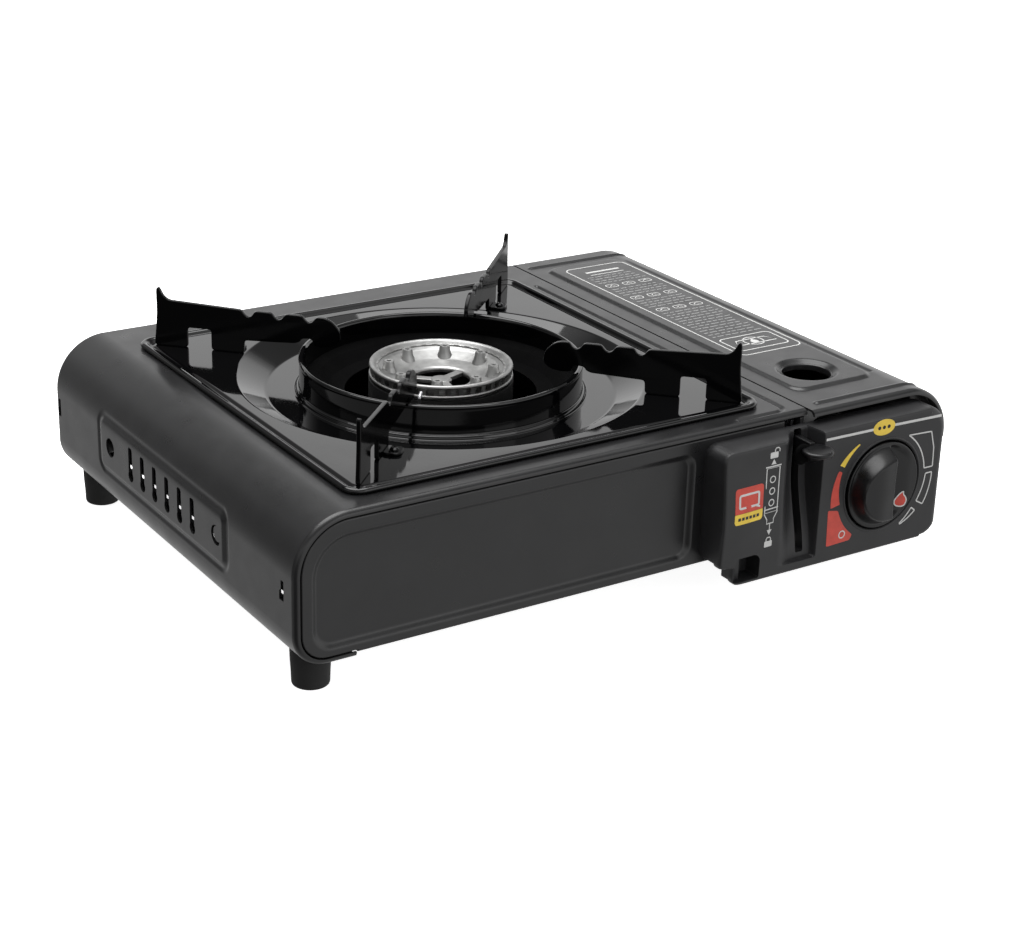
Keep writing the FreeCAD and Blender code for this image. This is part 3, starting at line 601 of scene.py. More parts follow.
def side_cuts():
    """Holes in the left end: finger hole, keyhole slots, half-punched hole and two tab slots."""
    tool = Shape()
    depth = (LEFT_X - 4, LEFT_X + 4)
    tool.add(slab(circle(70, 48, 4.5, 32), seen_side, *depth))
    for index in range(SIDE_SLOTS):
        y = 47.2 - SIDE_SLOT_PITCH * index
        key = [(y + 1.2, 55.9), (y - 1.2, 55.9), (y - 2.0, 55.1)]
        key += arc_points(y, 42.2, 2.7, range(140, 401, 15)) + [(y + 2.0, 55.1)]
        tool.add(slab(key, seen_side, *depth))
    crescent = arc_points(-40.5, 48, 4.5, range(-125, 91, 12))
    crescent += [(-41.9 + 3.6 * math.cos(math.radians(a)), 49 + 3.5 * math.sin(math.radians(a)))
                 for a in range(80, -126, -12)]
    tool.add(slab(crescent, seen_side, *depth))
    for y in (-99.0, 132.0):
        notch = [(y - 1.8, 42.6), (y + 2.0, 42.6), (y + 2.0, 46.5), (y + 0.6, 47.2), (y + 0.6, 51.4),
                 (y - 1.8, 51.4)]
        tool.add(slab(notch, seen_side, *depth))
    return tool


def body_shell():
    """Deck, left end and lip, bent from one sheet."""
    low_x = LEFT_X + BOTTOM_RADIUS
    high_x = LEFT_X + TOP_RADIUS
    high_z = DECK_Z - TOP_RADIUS
    stations = line_stations((LIP_END_X, LIP_Z), (low_x, LIP_Z), stops((LIP_END_X, low_x, 4)), "lip")
    stations += arc_stations(low_x, LIP_Z + BOTTOM_RADIUS, BOTTOM_RADIUS, 270, 180, 14, "low", math.sin)
    wall_z = stops((LIP_Z + BOTTOM_RADIUS, 39, 0.5), (39, 52, 2), (52, high_z, 0.5))
    stations += line_stations((LEFT_X, 0), (LEFT_X, 1), wall_z, "wall")
    stations += arc_stations(high_x, high_z, TOP_RADIUS, 180, 90, 44, "wall",
                             lambda angle: high_z + TOP_RADIUS * (math.pi - angle))
    deck_x = stops((high_x, 49, 6), (49, 54, 0.6), (54, 71, 3), (71, 81, 0.35), (81, DECK_END_X, 1.5))
    stations += line_stations((0, DECK_Z), (1, DECK_Z), deck_x, "deck")
    ys = stops((FRONT_Y + RIM, -99, 0.35), (-99, -54, 5), (-54, -38, 0.8), (-38, 72, 5), (72, 86, 0.8),
               (86, 94, 4), (94, 100, 0.5), (100, BACK_Y - RIM, 4))
    shell = make_object("casing_shell", hemmed_sheet(stations, ys, FRONT_Y, BACK_Y, shell_relief))
    half = TRAY_HALF - 9
    well = rounded_loop((CENTRE_X - half, CENTRE_X + half), (CENTRE_Y - half, CENTRE_Y + half), [20] * 4)
    cut(shell, slab(well, seen_top, DECK_Z - 5, DECK_Z + 5))
    cut(shell, side_cuts())
    return finish_piece(shell, "casing_paint", "casing", replaced=["body_shell"])


def end_plate(name, full_width, face_y, inward, field_x, field_z, radii, slots=()):
    """Pressed end plate: an edge that follows the casing's rim, and a sunk field with soft sides."""
    gap = RIM + PANEL_GAP
    top, low = TOP_RADIUS - gap, BOTTOM_RADIUS - gap
    left, high = LEFT_X + gap, DECK_Z - gap
    bottom = PAN_Z + 0.4
    step_x = LIP_END_X + PANEL_GAP
    edge = [(step_x, bottom)]
    if full_width:
        right = -left - 1.5
        edge += arc_points(right - low, bottom + low, low, np.linspace(-90, 0, 10))
        edge += arc_points(right - top, high - top, top, np.linspace(0, 90, 16))
    else:
        right = DECK_END_X - 1.5
        edge += [(right, bottom), (right, high)]
    edge += arc_points(left + top, high - top, top, np.linspace(90, 180, 16))
    edge += arc_points(left + low, LIP_Z + gap + low, low, np.linspace(180, 270, 10))
    edge.append((step_x, LIP_Z + gap))
    shape = Shape()
    outside = []
    for turn in np.linspace(0, math.pi / 2, 4):
        depth = PANEL_ROLL * (1 - math.sin(turn))
        outline = inset(edge, PANEL_ROLL * (1 - math.cos(turn)))
        outside.append([(x, face_y + inward * depth, z) for x, z in outline])
    back = [(x, face_y + inward * PANEL_THICK, z) for x, z in edge]
    shape.loft([back] + outside)
    field = []
    rows = 9
    for k in range(rows + 1):
        t = k / rows
        draw = FIELD_SOFT * t
        loop = rounded_loop((field_x[0] + draw, field_x[1] - draw), (field_z[0] + draw, field_z[1] - draw),
                            [r - draw * 0.8 for r in radii], side=24)
        y = face_y + inward * FIELD_DEPTH * smooth_step(t)
        field.append([(x, y, z) for x, z in loop])
    shape.flat(outside[-1], [field[0]])
    shape.loft(field)
    holes = []
    for centre_x, low_z, high_z, half in slots:
        outline = rounded_loop((centre_x - half, centre_x + half), (low_z, high_z), [half * 0.98] * 4, 5, 3)
        rings = []
        for depth, grow in ((FIELD_DEPTH, 0.3), (FIELD_DEPTH + 0.3, 0.0), (PANEL_THICK, 0.0)):
            rings.append([(x, face_y + inward * depth, z) for x, z in inset(outline, -grow)])
        shape.loft(rings)
        holes.append(rings[0])
    shape.flat(field[-1], holes)
    shape.flat(back, [[(p[0], face_y + inward * PANEL_THICK, p[2]) for p in hole] for hole in holes])
    return make_object(name, shape)


def front_plate():
    """Front of the casing, with its sunk field left of the control panel."""
    plate = end_plate("front_plate", False, FRONT_Y, 1, (-162.6, 26), (20.6, 71.6), [10, 7, 7, 18])
    tool = slab(rounded_loop((74, 83), (14.5, 78), [0.5] * 4, 2, 2), seen_front, FRONT_Y - 3, FRONT_Y + 5)
    tool.add(slab(circle(KNOB_X, KNOB_Z, 14), seen_front, FRONT_Y - 3, FRONT_Y + 5))
    cut(plate, tool)
    return finish_piece(plate, "casing_paint", "casing", replaced=["front_panel"])


def rear_plate():
    """Back of the casing, with a sunk field and a row of vent slots."""
    slots = [(-88 + 12 * k, 38, 58, 1.5) for k in range(10)]
    plate = end_plate("rear_plate", True, BACK_Y, -1, (-159.5, 159.5), (25.4, 68), [12, 12, 17, 17], slots)
    return finish_piece(plate, "casing_paint", "casing", replaced=["rear_panel"])


# ---------------------------------------------------------------- lid

def lid_relief(kind, along, y):
    """Raised label field, two beads across the lid and the dimple round its hole."""
    if kind != "deck":
        return 0.0
    field = smooth_step((depth_inside(along, y, PLATEAU_X, PLATEAU_Y, 7.0) + 0.8) / 2.4)
    beads = 0.0
    for bead_y, xs in ((-105.5, (96, 154)), (124.5, (93, 153))):
        gap = math.hypot(max(0.0, xs[0] - along, along - xs[1]), y - bead_y)
        beads = max(beads, 0.8 * smooth_step(1 - gap / 2.2))
    hole = math.hypot(along - LID_HOLE[0], y - LID_HOLE[1])
    dimple = 1.0 - smooth_step((hole - LID_HOLE_RADIUS - 0.6) / 2.6)
    beside = abs(along - PLATEAU_X[1] - 2.6) / 2.0 + max(0.0, PLATEAU_Y[0] + 6 - y, y - PLATEAU_Y[1] + 6)
    groove = 0.6 * smooth_step(1 - beside)
    return max(field - dimple * field, beads) - 0.6 * dimple - groove


def cartridge_lid():
    """Lid bent over the cartridge bay, with its pressings, its hole and its hinge ears."""
    high_x = RIGHT_X - TOP_RADIUS
    high_z = DECK_Z - TOP_RADIUS
    lid_front, lid_back = LID_LOW[1], LID_HIGH[1]
    deck_x = stops((LID_LOW[0], 92, 1), (92, 101, 0.5), (101, 103, 1), (103, 135, 0.7), (135, 139, 2),
                   (139, high_x, 0.5))
    stations = line_stations((0, DECK_Z), (1, DECK_Z), deck_x, "deck")
    stations += arc_stations(high_x, high_z, TOP_RADIUS, 90, 0, 40, "deck",
                             lambda angle: high_x + TOP_RADIUS * (math.pi / 2 - angle))
    stations += line_stations((RIGHT_X, 0), (RIGHT_X, 1), [high_z, 54, 53], "wall")
    ys = stops((lid_front + RIM, -108.5, 0.7), (-108.5, -102, 0.4), (-102, -95, 1.5), (-95, -87, 0.6),
               (-87, -54, 0.7), (-54, 113, 8), (113, 128, 0.5), (128, lid_back - RIM, 1.5))
    lid = make_object("lid_shell", hemmed_sheet(stations, ys, lid_front, lid_back, lid_relief))
    x, y = LID_HOLE
    cut(lid, slab(circle(x, y, LID_HOLE_RADIUS, 64), seen_top, DECK_Z - 4, DECK_Z + 4))
    finish_piece(lid, "casing_paint", "lid", replaced=["cartridge_lid"])
    r = LID_HOLE_RADIUS
    eyelet = lathe([(r + 0.7, DECK_Z - 0.5), (r + 0.2, DECK_Z - 0.35), (r - 0.3, DECK_Z - 0.7),
                    (r - 0.5, DECK_Z - 1.4), (r - 0.5, DECK_Z - 3.2), (r + 0.3, DECK_Z - 3.2),
                    (r + 0.3, DECK_Z - 1.2)], x, y, 64, closed=True)
    finish_piece(make_object("lid_eyelet", eyelet), "casing_paint", "lid")
    for index, (low, high) in enumerate(((-106.0, -105.0), (131.0, 132.0))):
        web = [(152, 53), (152, 77.8)]
        inner = TOP_RADIUS - 1.2
        web += [(high_x + inner * math.sin(t), high_z + inner * math.cos(t))
                for t in np.linspace(0.3, math.pi / 2, 12)]
        web += [(RIGHT_X - 1.2, 50)]
        web += [(HINGE_X + EAR_RADIUS * math.cos(t), HINGE_Z + EAR_RADIUS * math.sin(t))
                for t in np.linspace(-0.4, -math.pi, 10)]
        web.append((HINGE_X - EAR_RADIUS, 53))
        hole = circle(HINGE_X, HINGE_Z, HINGE_HOLE_RADIUS, 24)
        ear = slab(web, seen_front, low, high, 0.25, [hole])
        finish_piece(make_object(f"lid_ear_{index + 1}", ear), "casing_paint", "lid")


# ---------------------------------------------------------------- tray and pan supports

def square_loop(half, radius):
    """Loop round the tray, at a distance from its centre."""
    return rounded_loop((CENTRE_X - half, CENTRE_X + half), (CENTRE_Y - half, CENTRE_Y + half),
                        [radius] * 4, 14, 40)


def round_loop(radius):
    """Circle whose points line up with those of square_loop."""
    found = []
    for x, y in square_loop(TRAY_HALF, 8):
        angle = math.atan2(y - CENTRE_Y, x - CENTRE_X)
        found.append((CENTRE_X + radius * math.cos(angle), CENTRE_Y + radius * math.sin(angle)))
    return found


def soft_profile(points, reach, steps=5):
    """Section of a pressed or turned part with its corners rounded off."""
    return soften(points, reach, steps, closed=False)


def drip_tray():
    """Enamelled tray: rolled square rim, flat corners, round dish and collar, with a dull black well inside
    that is painted shade.
    """
    edge = TRAY_HALF
    rim = [(edge - 1.2, 80.2), (edge - 0.2, 80.6), (edge, 81.3), (edge - 0.25, 82.1),
           (edge - 0.9, TRAY_RIM_Z - 0.05), (edge - 1.6, TRAY_RIM_Z), (edge - 2.4, TRAY_RIM_Z - 0.2),
           (edge - 3.0, 81.9), (edge - 3.6, 81.0), (edge - 4.4, 80.75), (edge - 5.2, 81.0),
           (edge - 6.0, 81.35), (edge - 6.8, TRAY_PLATE_Z)]
    loops = [at_height(square_loop(half, 8 - (edge - half) * 0.55), z) for half, z in rim]
    section = [(98, TRAY_PLATE_Z), (93.6, TRAY_PLATE_Z), (80.2, 74.2), (66.7, 74.1), (66.1, 75.9),
               (64.9, 76.2), (64.8, 87.6), (65.2, 88.6), (64.6, 89.45), (63.2, 89.45), (62.4, 88.4),
               (62.0, 79.0)]
    loops += [at_height(round_loop(r), z) for r, z in soft_profile(section, 0.9)]
    under = [(62.6, 78.6), (63.1, 87.4), (63.9, 87.8), (64.1, 75.5), (65.9, 73.2), (80.4, 73.4),
             (93.8, 80.5), (97.2, 80.5)]
    lower = [at_height(round_loop(r), z) for r, z in under]
    lower.append(at_height(square_loop(edge - 3, 6.5), 80.3))
    shape = Shape().loft(loops)
    shape.loft([loops[-1]] + lower + [loops[0]])
    tray = make_object("tray_pan", shape)
    finish_piece(tray, "black_enamel", "tray", replaced=["drip_tray"], sharp=60)
    well = [(62.3, 79.4), (61.0, 79.2), (57.5, 77.6), (52.0, 73.6), (44.4, 73.5), (44, 73.1), (44.4, 72.7),
            (52.4, 72.8), (58.1, 76.8), (61.2, 78.4), (62.3, 78.6)]
    # The well's dull black finish is painted shade for the dark inside of the burner ring.
    inner = make_object("tray_well", lathe(soft_profile(well + well[:1], 0.4, 3), CENTRE_X, CENTRE_Y, 96))
    finish_piece(inner, "shade_black_enamel", "tray", sharp=50)


def arm_outline():
    """Side view of a pan support: distance from the burner's axis, and height."""
    nose = [(60.5, 88.3), (56, 87.9), (50.5, 89), (47.4, 92), (48, 96.8), (51.5, 100.6), (55, 102.2)]
    notches = [(59.4, 102.3)]
    for middle in (62.6, 77.4, 92.0):
        notches += [(middle - 1.6, 99.8), (middle, 99.2), (middle + 1.6, 99.8), (middle + 3.4, 102.4)]
        if middle < 90:
            notches.append((middle + 11.4, 102.4))
    horn = [(131, 103.8), (133.4, 105.6), (135.2, 109.3), (136.2, ARM_TOP), (136.9, 108.6)]
    foot = [(136.8, 97), (137.6, 88), (138.4, 81.4), (122, 81.4), (122, 91.2), (110.3, 91.2), (110.3, 81.4)]
    foot += [(94.5, 81.4), (94.2, 87.6)]
    hook = [(69.5, 88.6), (67.2, 89.6), (66.4, 91.2), (62, 91.6), (61, 90.6)]
    return nose + notches + horn + foot + hook


def turned_about(shape, degrees):
    """Shape turned about the burner's axis and put at the burner's centre."""
    turn = Matrix.Rotation(math.radians(degrees), 3, "Z")
    centre = Vector((CENTRE_X, CENTRE_Y, 0))
    return shape.moved(lambda p: turn @ p + centre)


def pan_supports():
    """Four sheet-steel pan supports on the tray's diagonals, each with a riveted foot tab."""
    for name, angle in ARM_ANGLES.items():
        outline = soften(arm_outline(), 1.6, 4)
        arm = slab(outline, seen_front, -1.0, 1.0, 0.45)
        side = -1 if name.startswith("rear") else 1
        tab = [(95.5, 1.0), (104.5, 1.0), (104.5, 7.2), (102.5, 8.6), (97.5, 8.6), (95.5, 7.2)]
        arm.add(slab(soften([(s, side * t) for s, t in tab], 1.2), seen_top, 81.45, 82.7, 0.3))
        arm.add(lathe([(2.0, 82.6), (1.9, 83.2), (1.3, 83.7), (0.01, 83.85)], 100, side * 5, 24))
        piece = make_object(f"pan_support_{name}", turned_about(arm, angle))
        finish_piece(piece, "arm_enamel", "tray", replaced=[f"support_arm_{name}"])


# ---------------------------------------------------------------- burner

def burner_head():
    """Cast head: rolled rim, slotted port band, funnel, eight drilled bosses and a spoked middle."""
    top = HEAD_TOP
    r = HEAD_RADIUS
    crown = [(28.9, 84.7), (r - 0.5, 84.7), (r, 85.0), (r, top - 0.6), (r - 0.6, top), (31.6, top),
             (30.9, top - 0.4), (29.8, 84.9), (27.6, 82.9), (21, 80.6), (14.4, 79.1), (13.4, 78.3),
             (13.5, 76.4), (14.5, 76.2), (28.4, 80.0), (28.8, 80.6)]
    shape = lathe(soft_profile(crown + crown[:1], 0.5, 3), CENTRE_X, CENTRE_Y, 144)
    flange = [(28.2, 82.0), (r - 0.6, 82.0), (33.1, 81.7), (33.2, 80.9), (32.6, 80.5), (31, 80.4),
              (30.8, 77.5), (28.7, 77.5)]
    shape.add(lathe(soft_profile(flange + flange[:1], 0.4, 3), CENTRE_X, CENTRE_Y, 144))
    for index in range(PORTS):
        tooth = slab(rounded_loop((29.0, r - 0.5), (-1.2, 1.2), [0.3] * 4, 2, 2), seen_top, 81.9, 84.9)
        shape.add(turned_about(tooth, 360 / PORTS * (index + 0.5)))
    angles = [BOSS_START + 360 / BOSSES * k for k in range(BOSSES)]
    for x, y in arc_points(CENTRE_X, CENTRE_Y, BOSS_RING, angles):
        boss = [(4.0, 80.0), (3.2, 82.2), (2.7, 83.4), (2.35, 85.9), (2.1, 86.25), (1.15, 86.25),
                (0.95, 86.0), (0.95, 83.0), (0.01, 82.8)]
        shape.add(lathe(boss, x, y, 28))
    hub = [(0.01, 78.6), (4.2, 78.5), (4.9, 78.0), (5.0, 76.4), (4.4, 76.0), (0.01, 76.0)]
    shape.add(lathe(hub, CENTRE_X, CENTRE_Y, 40))
    for index in range(SPOKES):
        spoke = slab(rounded_loop((3, 14.4), (-2, 2), [0.4] * 4, 2, 2), seen_top, 76.2, 78.3, 0.3)
        shape.add(turned_about(spoke, SPOKE_START + 360 / SPOKES * index))
    head = make_object("burner_casting", shape)
    finish_piece(head, "cast_aluminium", "casing", replaced=["burner_head"], sharp=32)


# ---------------------------------------------------------------- feet

def feet():
    """Tapered rubber feet with a rounded sole and a screw recess."""
    profile = [(0.01, 4.2), (3.9, 4.0), (4.0, 0.5), (4.5, 0.0), (7.0, 0.0), (7.8, 0.4), (8.0, 1.2),
               (8.15, 6), (8.5, 12), (8.6, 16), (8.6, 19), (0.01, 19)]
    for side, x in (("left", -FOOT_X), ("right", FOOT_X)):
        for end, y in zip(("front", "rear"), FOOT_Y):
            corner = f"{end}_{side}"
            foot = make_object(f"rubber_foot_{corner}", lathe(soft_profile(profile, 0.5, 3), x, y, 48))
            finish_piece(foot, "black_rubber", "casing", replaced=[f"foot_{corner}"])


# ---------------------------------------------------------------- control panel

def panel_edges(z):
    """Left and right end of the control panel at a height."""
    left = PANEL_LEFT
    right = PANEL_RIGHT
    top = PANEL_TOP
    if z > top - 5:
        left += 5 - math.sqrt(max(0.0, 25 - (z - top + 5) ** 2))
    if z > top - 12:
        right -= 12 - math.sqrt(max(0.0, 144 - (z - top + 12) ** 2))
    corner = LOW_STEP_Z + 3
    if LOW_STEP_Z < z < corner:
        left += 3 - math.sqrt(max(0.0, 9 - (corner - z) ** 2))
    if z <= LOW_STEP_Z:
        left = LOW_STEP_X
    low = PANEL_BOTTOM
    if z < low + 5:
        left += 5 - math.sqrt(max(0.0, 25 - (low + 5 - z) ** 2))
    if z < low + 7:
        right -= 9 * (1 - math.sqrt(max(0.0, 1 - ((low + 7 - z) / 7) ** 2)))
    return left, right


def panel_outline():
    """Points round the control panel."""
    rows = stops((PANEL_BOTTOM, 14, 0.4), (14, 18.99, 1), (19.01, 22, 0.5), (22, 60, 4),
                 (60, PANEL_TOP, 0.5))
    left = [(panel_edges(z)[0], z) for z in reversed(rows)]
    right = [(panel_edges(z)[1], z) for z in rows]
    return left + right


OUTLINE = np.array(panel_outline())


def outline_distance(x, z):
    """Distance from a point of the panel's face to its outline."""
    a = OUTLINE
    b = np.roll(OUTLINE, -1, axis=0)
    run = b - a
    length = np.maximum((run ** 2).sum(1), 1e-12)
    t = np.clip((((x, z) - a) * run).sum(1) / length, 0, 1)
    near = a + run * t[:, None]
    return float(np.sqrt((((x, z) - near) ** 2).sum(1)).min())


def face_depth(x, z):
    """Y of the panel's face before its edges are rounded."""
    bulge = PANEL_BULGE * math.exp(-((z - 42) / 20) ** 2) * smooth_step((SCOOP_START + 4 - x) / 30)
    depth = FACE_Y - bulge
    if SCOOP_START < x < STEP_X + 0.6 and z > SCOOP_LOW_Z:
        deep = SCOOP_LOW_DEPTH + SCOOP_ADDED_DEPTH * smooth_step((z - 12) / 44)
        scoop = deep * smooth_step((x - SCOOP_START) / 12.5)
        wall = smooth_step((x - STEP_X + 1.6) / 2.0)
        ledge = smooth_step((z - SCOOP_LOW_Z) / 0.9)
        depth += scoop * (1 - wall) * ledge
    return depth


def panel_face(x, z):
    """Y of the panel's finished face."""
    edge = outline_distance(x, z)
    depth = face_depth(x, z)
    roll = 1.6
    if edge < roll:
        depth += roll - math.sqrt(max(0.0, roll ** 2 - (roll - edge) ** 2))
    if x > 150 and edge < 3.5:
        depth += 1.2 * smooth_step(1 - edge / 3.5)
    return depth


def control_panel():
    """Moulded front cover: knob cup, scooped face with the lever's slot, stepped lower corner."""
    columns = stops((PANEL_LEFT, 34, 0.4), (34, 40, 1), (40, 56, 2), (56, 72, 0.8), (72, 84, 2),
                    (84, 88, 0.25), (88, 140, 4), (140, PANEL_RIGHT, 0.6))
    rows = stops((PANEL_BOTTOM, 18.99, 0.45), (19.01, 22, 0.5), (22, 62, 2), (62, PANEL_TOP, 0.45))
    grid = []
    for z in rows:
        left, right = panel_edges(z)
        line = []
        for x in columns:
            px = min(max(x, left), right)
            line.append((px, panel_face(px, z), z))
        grid.append(line)
    shape = Shape().loft(grid, closed=False)
    border = [row[0] for row in reversed(grid)] + grid[0][1:-1]
    border += [row[-1] for row in grid] + list(reversed(grid[-1][1:-1]))
    back = [(x, FRONT_Y, z) for x, _, z in border]
    shape.loft([border, back])
    shape.flat(back)
    panel = make_object("control_cover", shape)
    tool = slab(circle(KNOB_X, KNOB_Z, CUP_RADIUS, 96), seen_front, FACE_Y - 5, CUP_FLOOR_Y)
    tool.add(slab(rounded_loop(SLOT_X, SLOT_Z, [0.8] * 4, 4, 4), seen_front, FACE_Y - 8, FRONT_Y + 3))
    recess = rounded_loop((39.7, 53.7), (10.8, 22.8), [1, 1, 4, 1.5], 5, 4)
    tool.add(slab(recess, seen_front, FACE_Y - 8, FACE_Y + 9))
    under_step = [(28, 5), (45, 5), (45, 21.4), (28, 21.4)]
    tool.add(slab(under_step, seen_front, FACE_Y + 3.6, FRONT_Y + 2))
    cut(panel, tool)
    finish_piece(panel, "black_plastic", "casing", replaced=["control_panel"], sharp=30)
    lip = [(CUP_RADIUS + 0.05, FACE_Y + 2.0), (CUP_RADIUS + 0.05, FACE_Y + 0.1),
           (CUP_RADIUS + 0.35, FACE_Y - 0.35), (CUP_RADIUS + 0.8, FACE_Y - 0.4),
           (CUP_RADIUS + 1.3, FACE_Y - 0.05), (CUP_RADIUS + 1.3, FACE_Y + 2.0)]
    ring = lathe(soft_profile(lip + lip[:1], 0.2, 2), 0, 0, 120)
    ring.moved(lambda p: Vector((KNOB_X + p.x, p.z, KNOB_Z + p.y)))
    finish_piece(make_object("cup_lip", ring), "black_plastic", "casing")


# ---------------------------------------------------------------- knob and lever

def knob_height(u, w):
    """How far the knob's front stands out of its disc, at a place across (u) and up (w)."""
    r = max(0.01, math.hypot(u, w))
    edge = 1.4 + 2.2 * (w / KNOB_RADIUS) ** 2
    body = smooth_step((edge - u + 1.4) / 3.2)
    ends = (w / r) ** 2
    rim = smooth_step((KNOB_RADIUS - 1.4 - r) / (2.0 + 3.8 * ends))
    crown = KNOB_GRIP_HEIGHT + 1.4 * math.exp(-((u + 8) / 8) ** 2) - 0.9 * ends * r / KNOB_RADIUS
    grip = crown * body * rim
    hollow = 0.0
    if u > edge - 1:
        across = (u - edge) / 15.0
        hollow = -KNOB_HOLLOW_DEPTH * (1 - smooth_step(across)) * smooth_step((KNOB_RADIUS - 0.8 - r) / 3.0)
    return grip + hollow * (1 - body)


def control_knob():
    """Round knob with a raised D-shaped grip and a hollow for the fingers beside it."""
    count = 240
    rings = stops((0.05, KNOB_RADIUS - 3.4, 0.45), (KNOB_RADIUS - 3.4, KNOB_RADIUS - 0.6, 0.28))
    loops = []
    for r in rings:
        loops.append([(KNOB_X + u, KNOB_DISC_Y - knob_height(u, w), KNOB_Z + w)
                      for u, w in circle(0, 0, r, count)])
    for k in range(1, 5):
        turn = math.pi / 2 * k / 4
        r = KNOB_RADIUS - 0.6 + 0.6 * math.sin(turn)
        y = KNOB_DISC_Y + 0.6 * (1 - math.cos(turn))
        loops.append([(KNOB_X + u, y, KNOB_Z + w) for u, w in circle(0, 0, r, count)])
    for r, y in ((KNOB_RADIUS, CUP_FLOOR_Y - 0.3), (6, CUP_FLOOR_Y - 0.3), (5.6, CUP_FLOOR_Y + 2)):
        loops.append([(KNOB_X + u, y, KNOB_Z + w) for u, w in circle(0, 0, r, count)])
    shape = Shape().loft(loops)
    shape.flat(loops[0])
    shape.flat(loops[-1])
    knob = make_object("knob_moulding", shape)
    finish_piece(knob, "knob_plastic", "knob", replaced=["control_knob"], sharp=50)


def lock_lever():
    """Thumb lever: round hub in the scoop, waisted body and a flat round tab with a soft edge."""
    x = (SLOT_X[0] + SLOT_X[1]) / 2
    z = LEVER_Z
    hub = [(0.01, -124.8), (3.6, -124.7), (4.5, -124.2), (4.9, -123.4), (4.9, -122.7), (0.01, -122.7)]
    boss = lathe(soft_profile(hub, 0.5, 3), 0, 0, 48)
    boss.moved(lambda p: Vector((x - 4.6 + p.x, p.z, z - 1.9 + p.y)))
    # The hub's dull near-black finish is painted shade: a dark blob where the tab throws its shadow.
    finish_piece(make_object("lever_hub", boss), "shade_black_enamel", "lever")
    r = TAB_RADIUS
    disc = [(0.01, z - 1.2), (r - 1.4, z - 1.1), (r - 0.3, z - 0.5), (r, z + 0.5), (r - 0.3, z + 1.2),
            (r - 1.1, z + 1.6), (3.0, z + 1.6), (0.01, z + 1.6)]
    shape = lathe(soft_profile(disc, 0.6, 3), x - 0.4, LEVER_LOW[1] + r, 64)
    root_y = -122.6
    keel = [(x - 3.0, root_y), (x + 3.0, root_y), (x + 5.6, -125.5), (x + 5.2, -130.5),
            (x + 2.2, -133.2), (x - 2.6, -133.2), (x - 5.8, -130.5), (x - 6.2, -125.5)]
    outline = soften(keel, 2.4, 4)
    loops = []
    for height, draw in ((1.2, 0.8), (0.4, 0.1), (-0.6, 0.0), (-2.6, 1.3), (-4.2, 3.0), (-5.6, 4.6)):
        share = 1 - draw / 7.0
        loops.append([(x + (a - x) * share, root_y + (b - root_y) * share, z + height)
                      for a, b in outline])
    body = Shape().loft(loops)
    body.flat(loops[0])
    body.flat(loops[-1])
    shape.add(body)
    stem = slab(rounded_loop((x - 1.5, x + 1.5), (z - 2.5, z + 3), [0.6] * 4, 3, 3), seen_front, -124,
                FRONT_Y + 2.5, 0.3)
    shape.add(stem)
    lever = make_object("thumb_lever", shape)
    finish_piece(lever, "knob_plastic", "lever", replaced=["lock_lever"], sharp=45)


# ---------------------------------------------------------------- printed marks

def on_face(x, z, lift):
    """Point just in front of the control panel's face."""
    return (x, face_depth(x, z) - lift, z)


def over_marks(x, z, lift):
    """Point in front of the marks already printed on the control panel's face."""
    return on_face(x, z, lift + INK)


def on_lid(x, y, lift):
    """Point just above the lid's label field."""
    return (x, y, LABEL_Z + lift)


def fill_print(outline, place, rows=6):
    """Thin printed patch that follows the surface: rings drawn in towards its middle."""
    cu = sum(p[0] for p in outline) / len(outline)
    cv = sum(p[1] for p in outline) / len(outline)
    shape = Shape()
    loops = [[place(u, v, -0.05) for u, v in outline]]
    for k in range(rows + 1):
        share = 1 - k / rows * 0.985
        loops.append([place(cu + (u - cu) * share, cv + (v - cv) * share, INK) for u, v in outline])
    shape.loft(loops)
    shape.flat(loops[-1])
    return shape


def stroke_print(line, width, place, closed=False, lift=INK):
    """Thin printed line along a list of points."""
    points = [Vector(p) for p in line]
    last = len(points)
    sides = ([], [])
    for k, p in enumerate(points):
        before = points[k - 1] if k or closed else p
        after = points[(k + 1) % last] if k < last - 1 or closed else p
        along = (after - before).normalized()
        across = Vector((-along.y, along.x)) * width / 2
        for side, sign in zip(sides, (1, -1)):
            side.append(p + across * sign)
    loops = [[place(p.x, p.y, -0.05) for p in sides[0]], [place(p.x, p.y, lift) for p in sides[0]],
             [place(p.x, p.y, lift) for p in sides[1]], [place(p.x, p.y, -0.05) for p in sides[1]]]
    return Shape().loft(loops, closed)


def print_piece(name, paint, shapes, body):
    """One piece of printed marks."""
    whole = Shape()
    for shape in shapes:
        whole.add(shape)
    finish_piece(make_object(name, whole, merge=0.001), paint, body)


def clock(radius, turn):
    """Point of the face at a distance from the knob's axis and an angle from 12 o'clock."""
    angle = math.radians(turn)
    return (KNOB_X + radius * math.sin(angle), KNOB_Z + radius * math.cos(angle))


def sector(first, last, inner, outer, arc=14):
    """Outline between two radii and two clock angles about the knob."""
    outer_side = [clock(outer[0] + (outer[1] - outer[0]) * k / arc, first + (last - first) * k / arc)
                  for k in range(arc + 1)]
    inner_side = [clock(inner[0] + (inner[1] - inner[0]) * k / arc, first + (last - first) * k / arc)
                  for k in range(arc + 1)]
    return outer_side + inner_side[::-1]


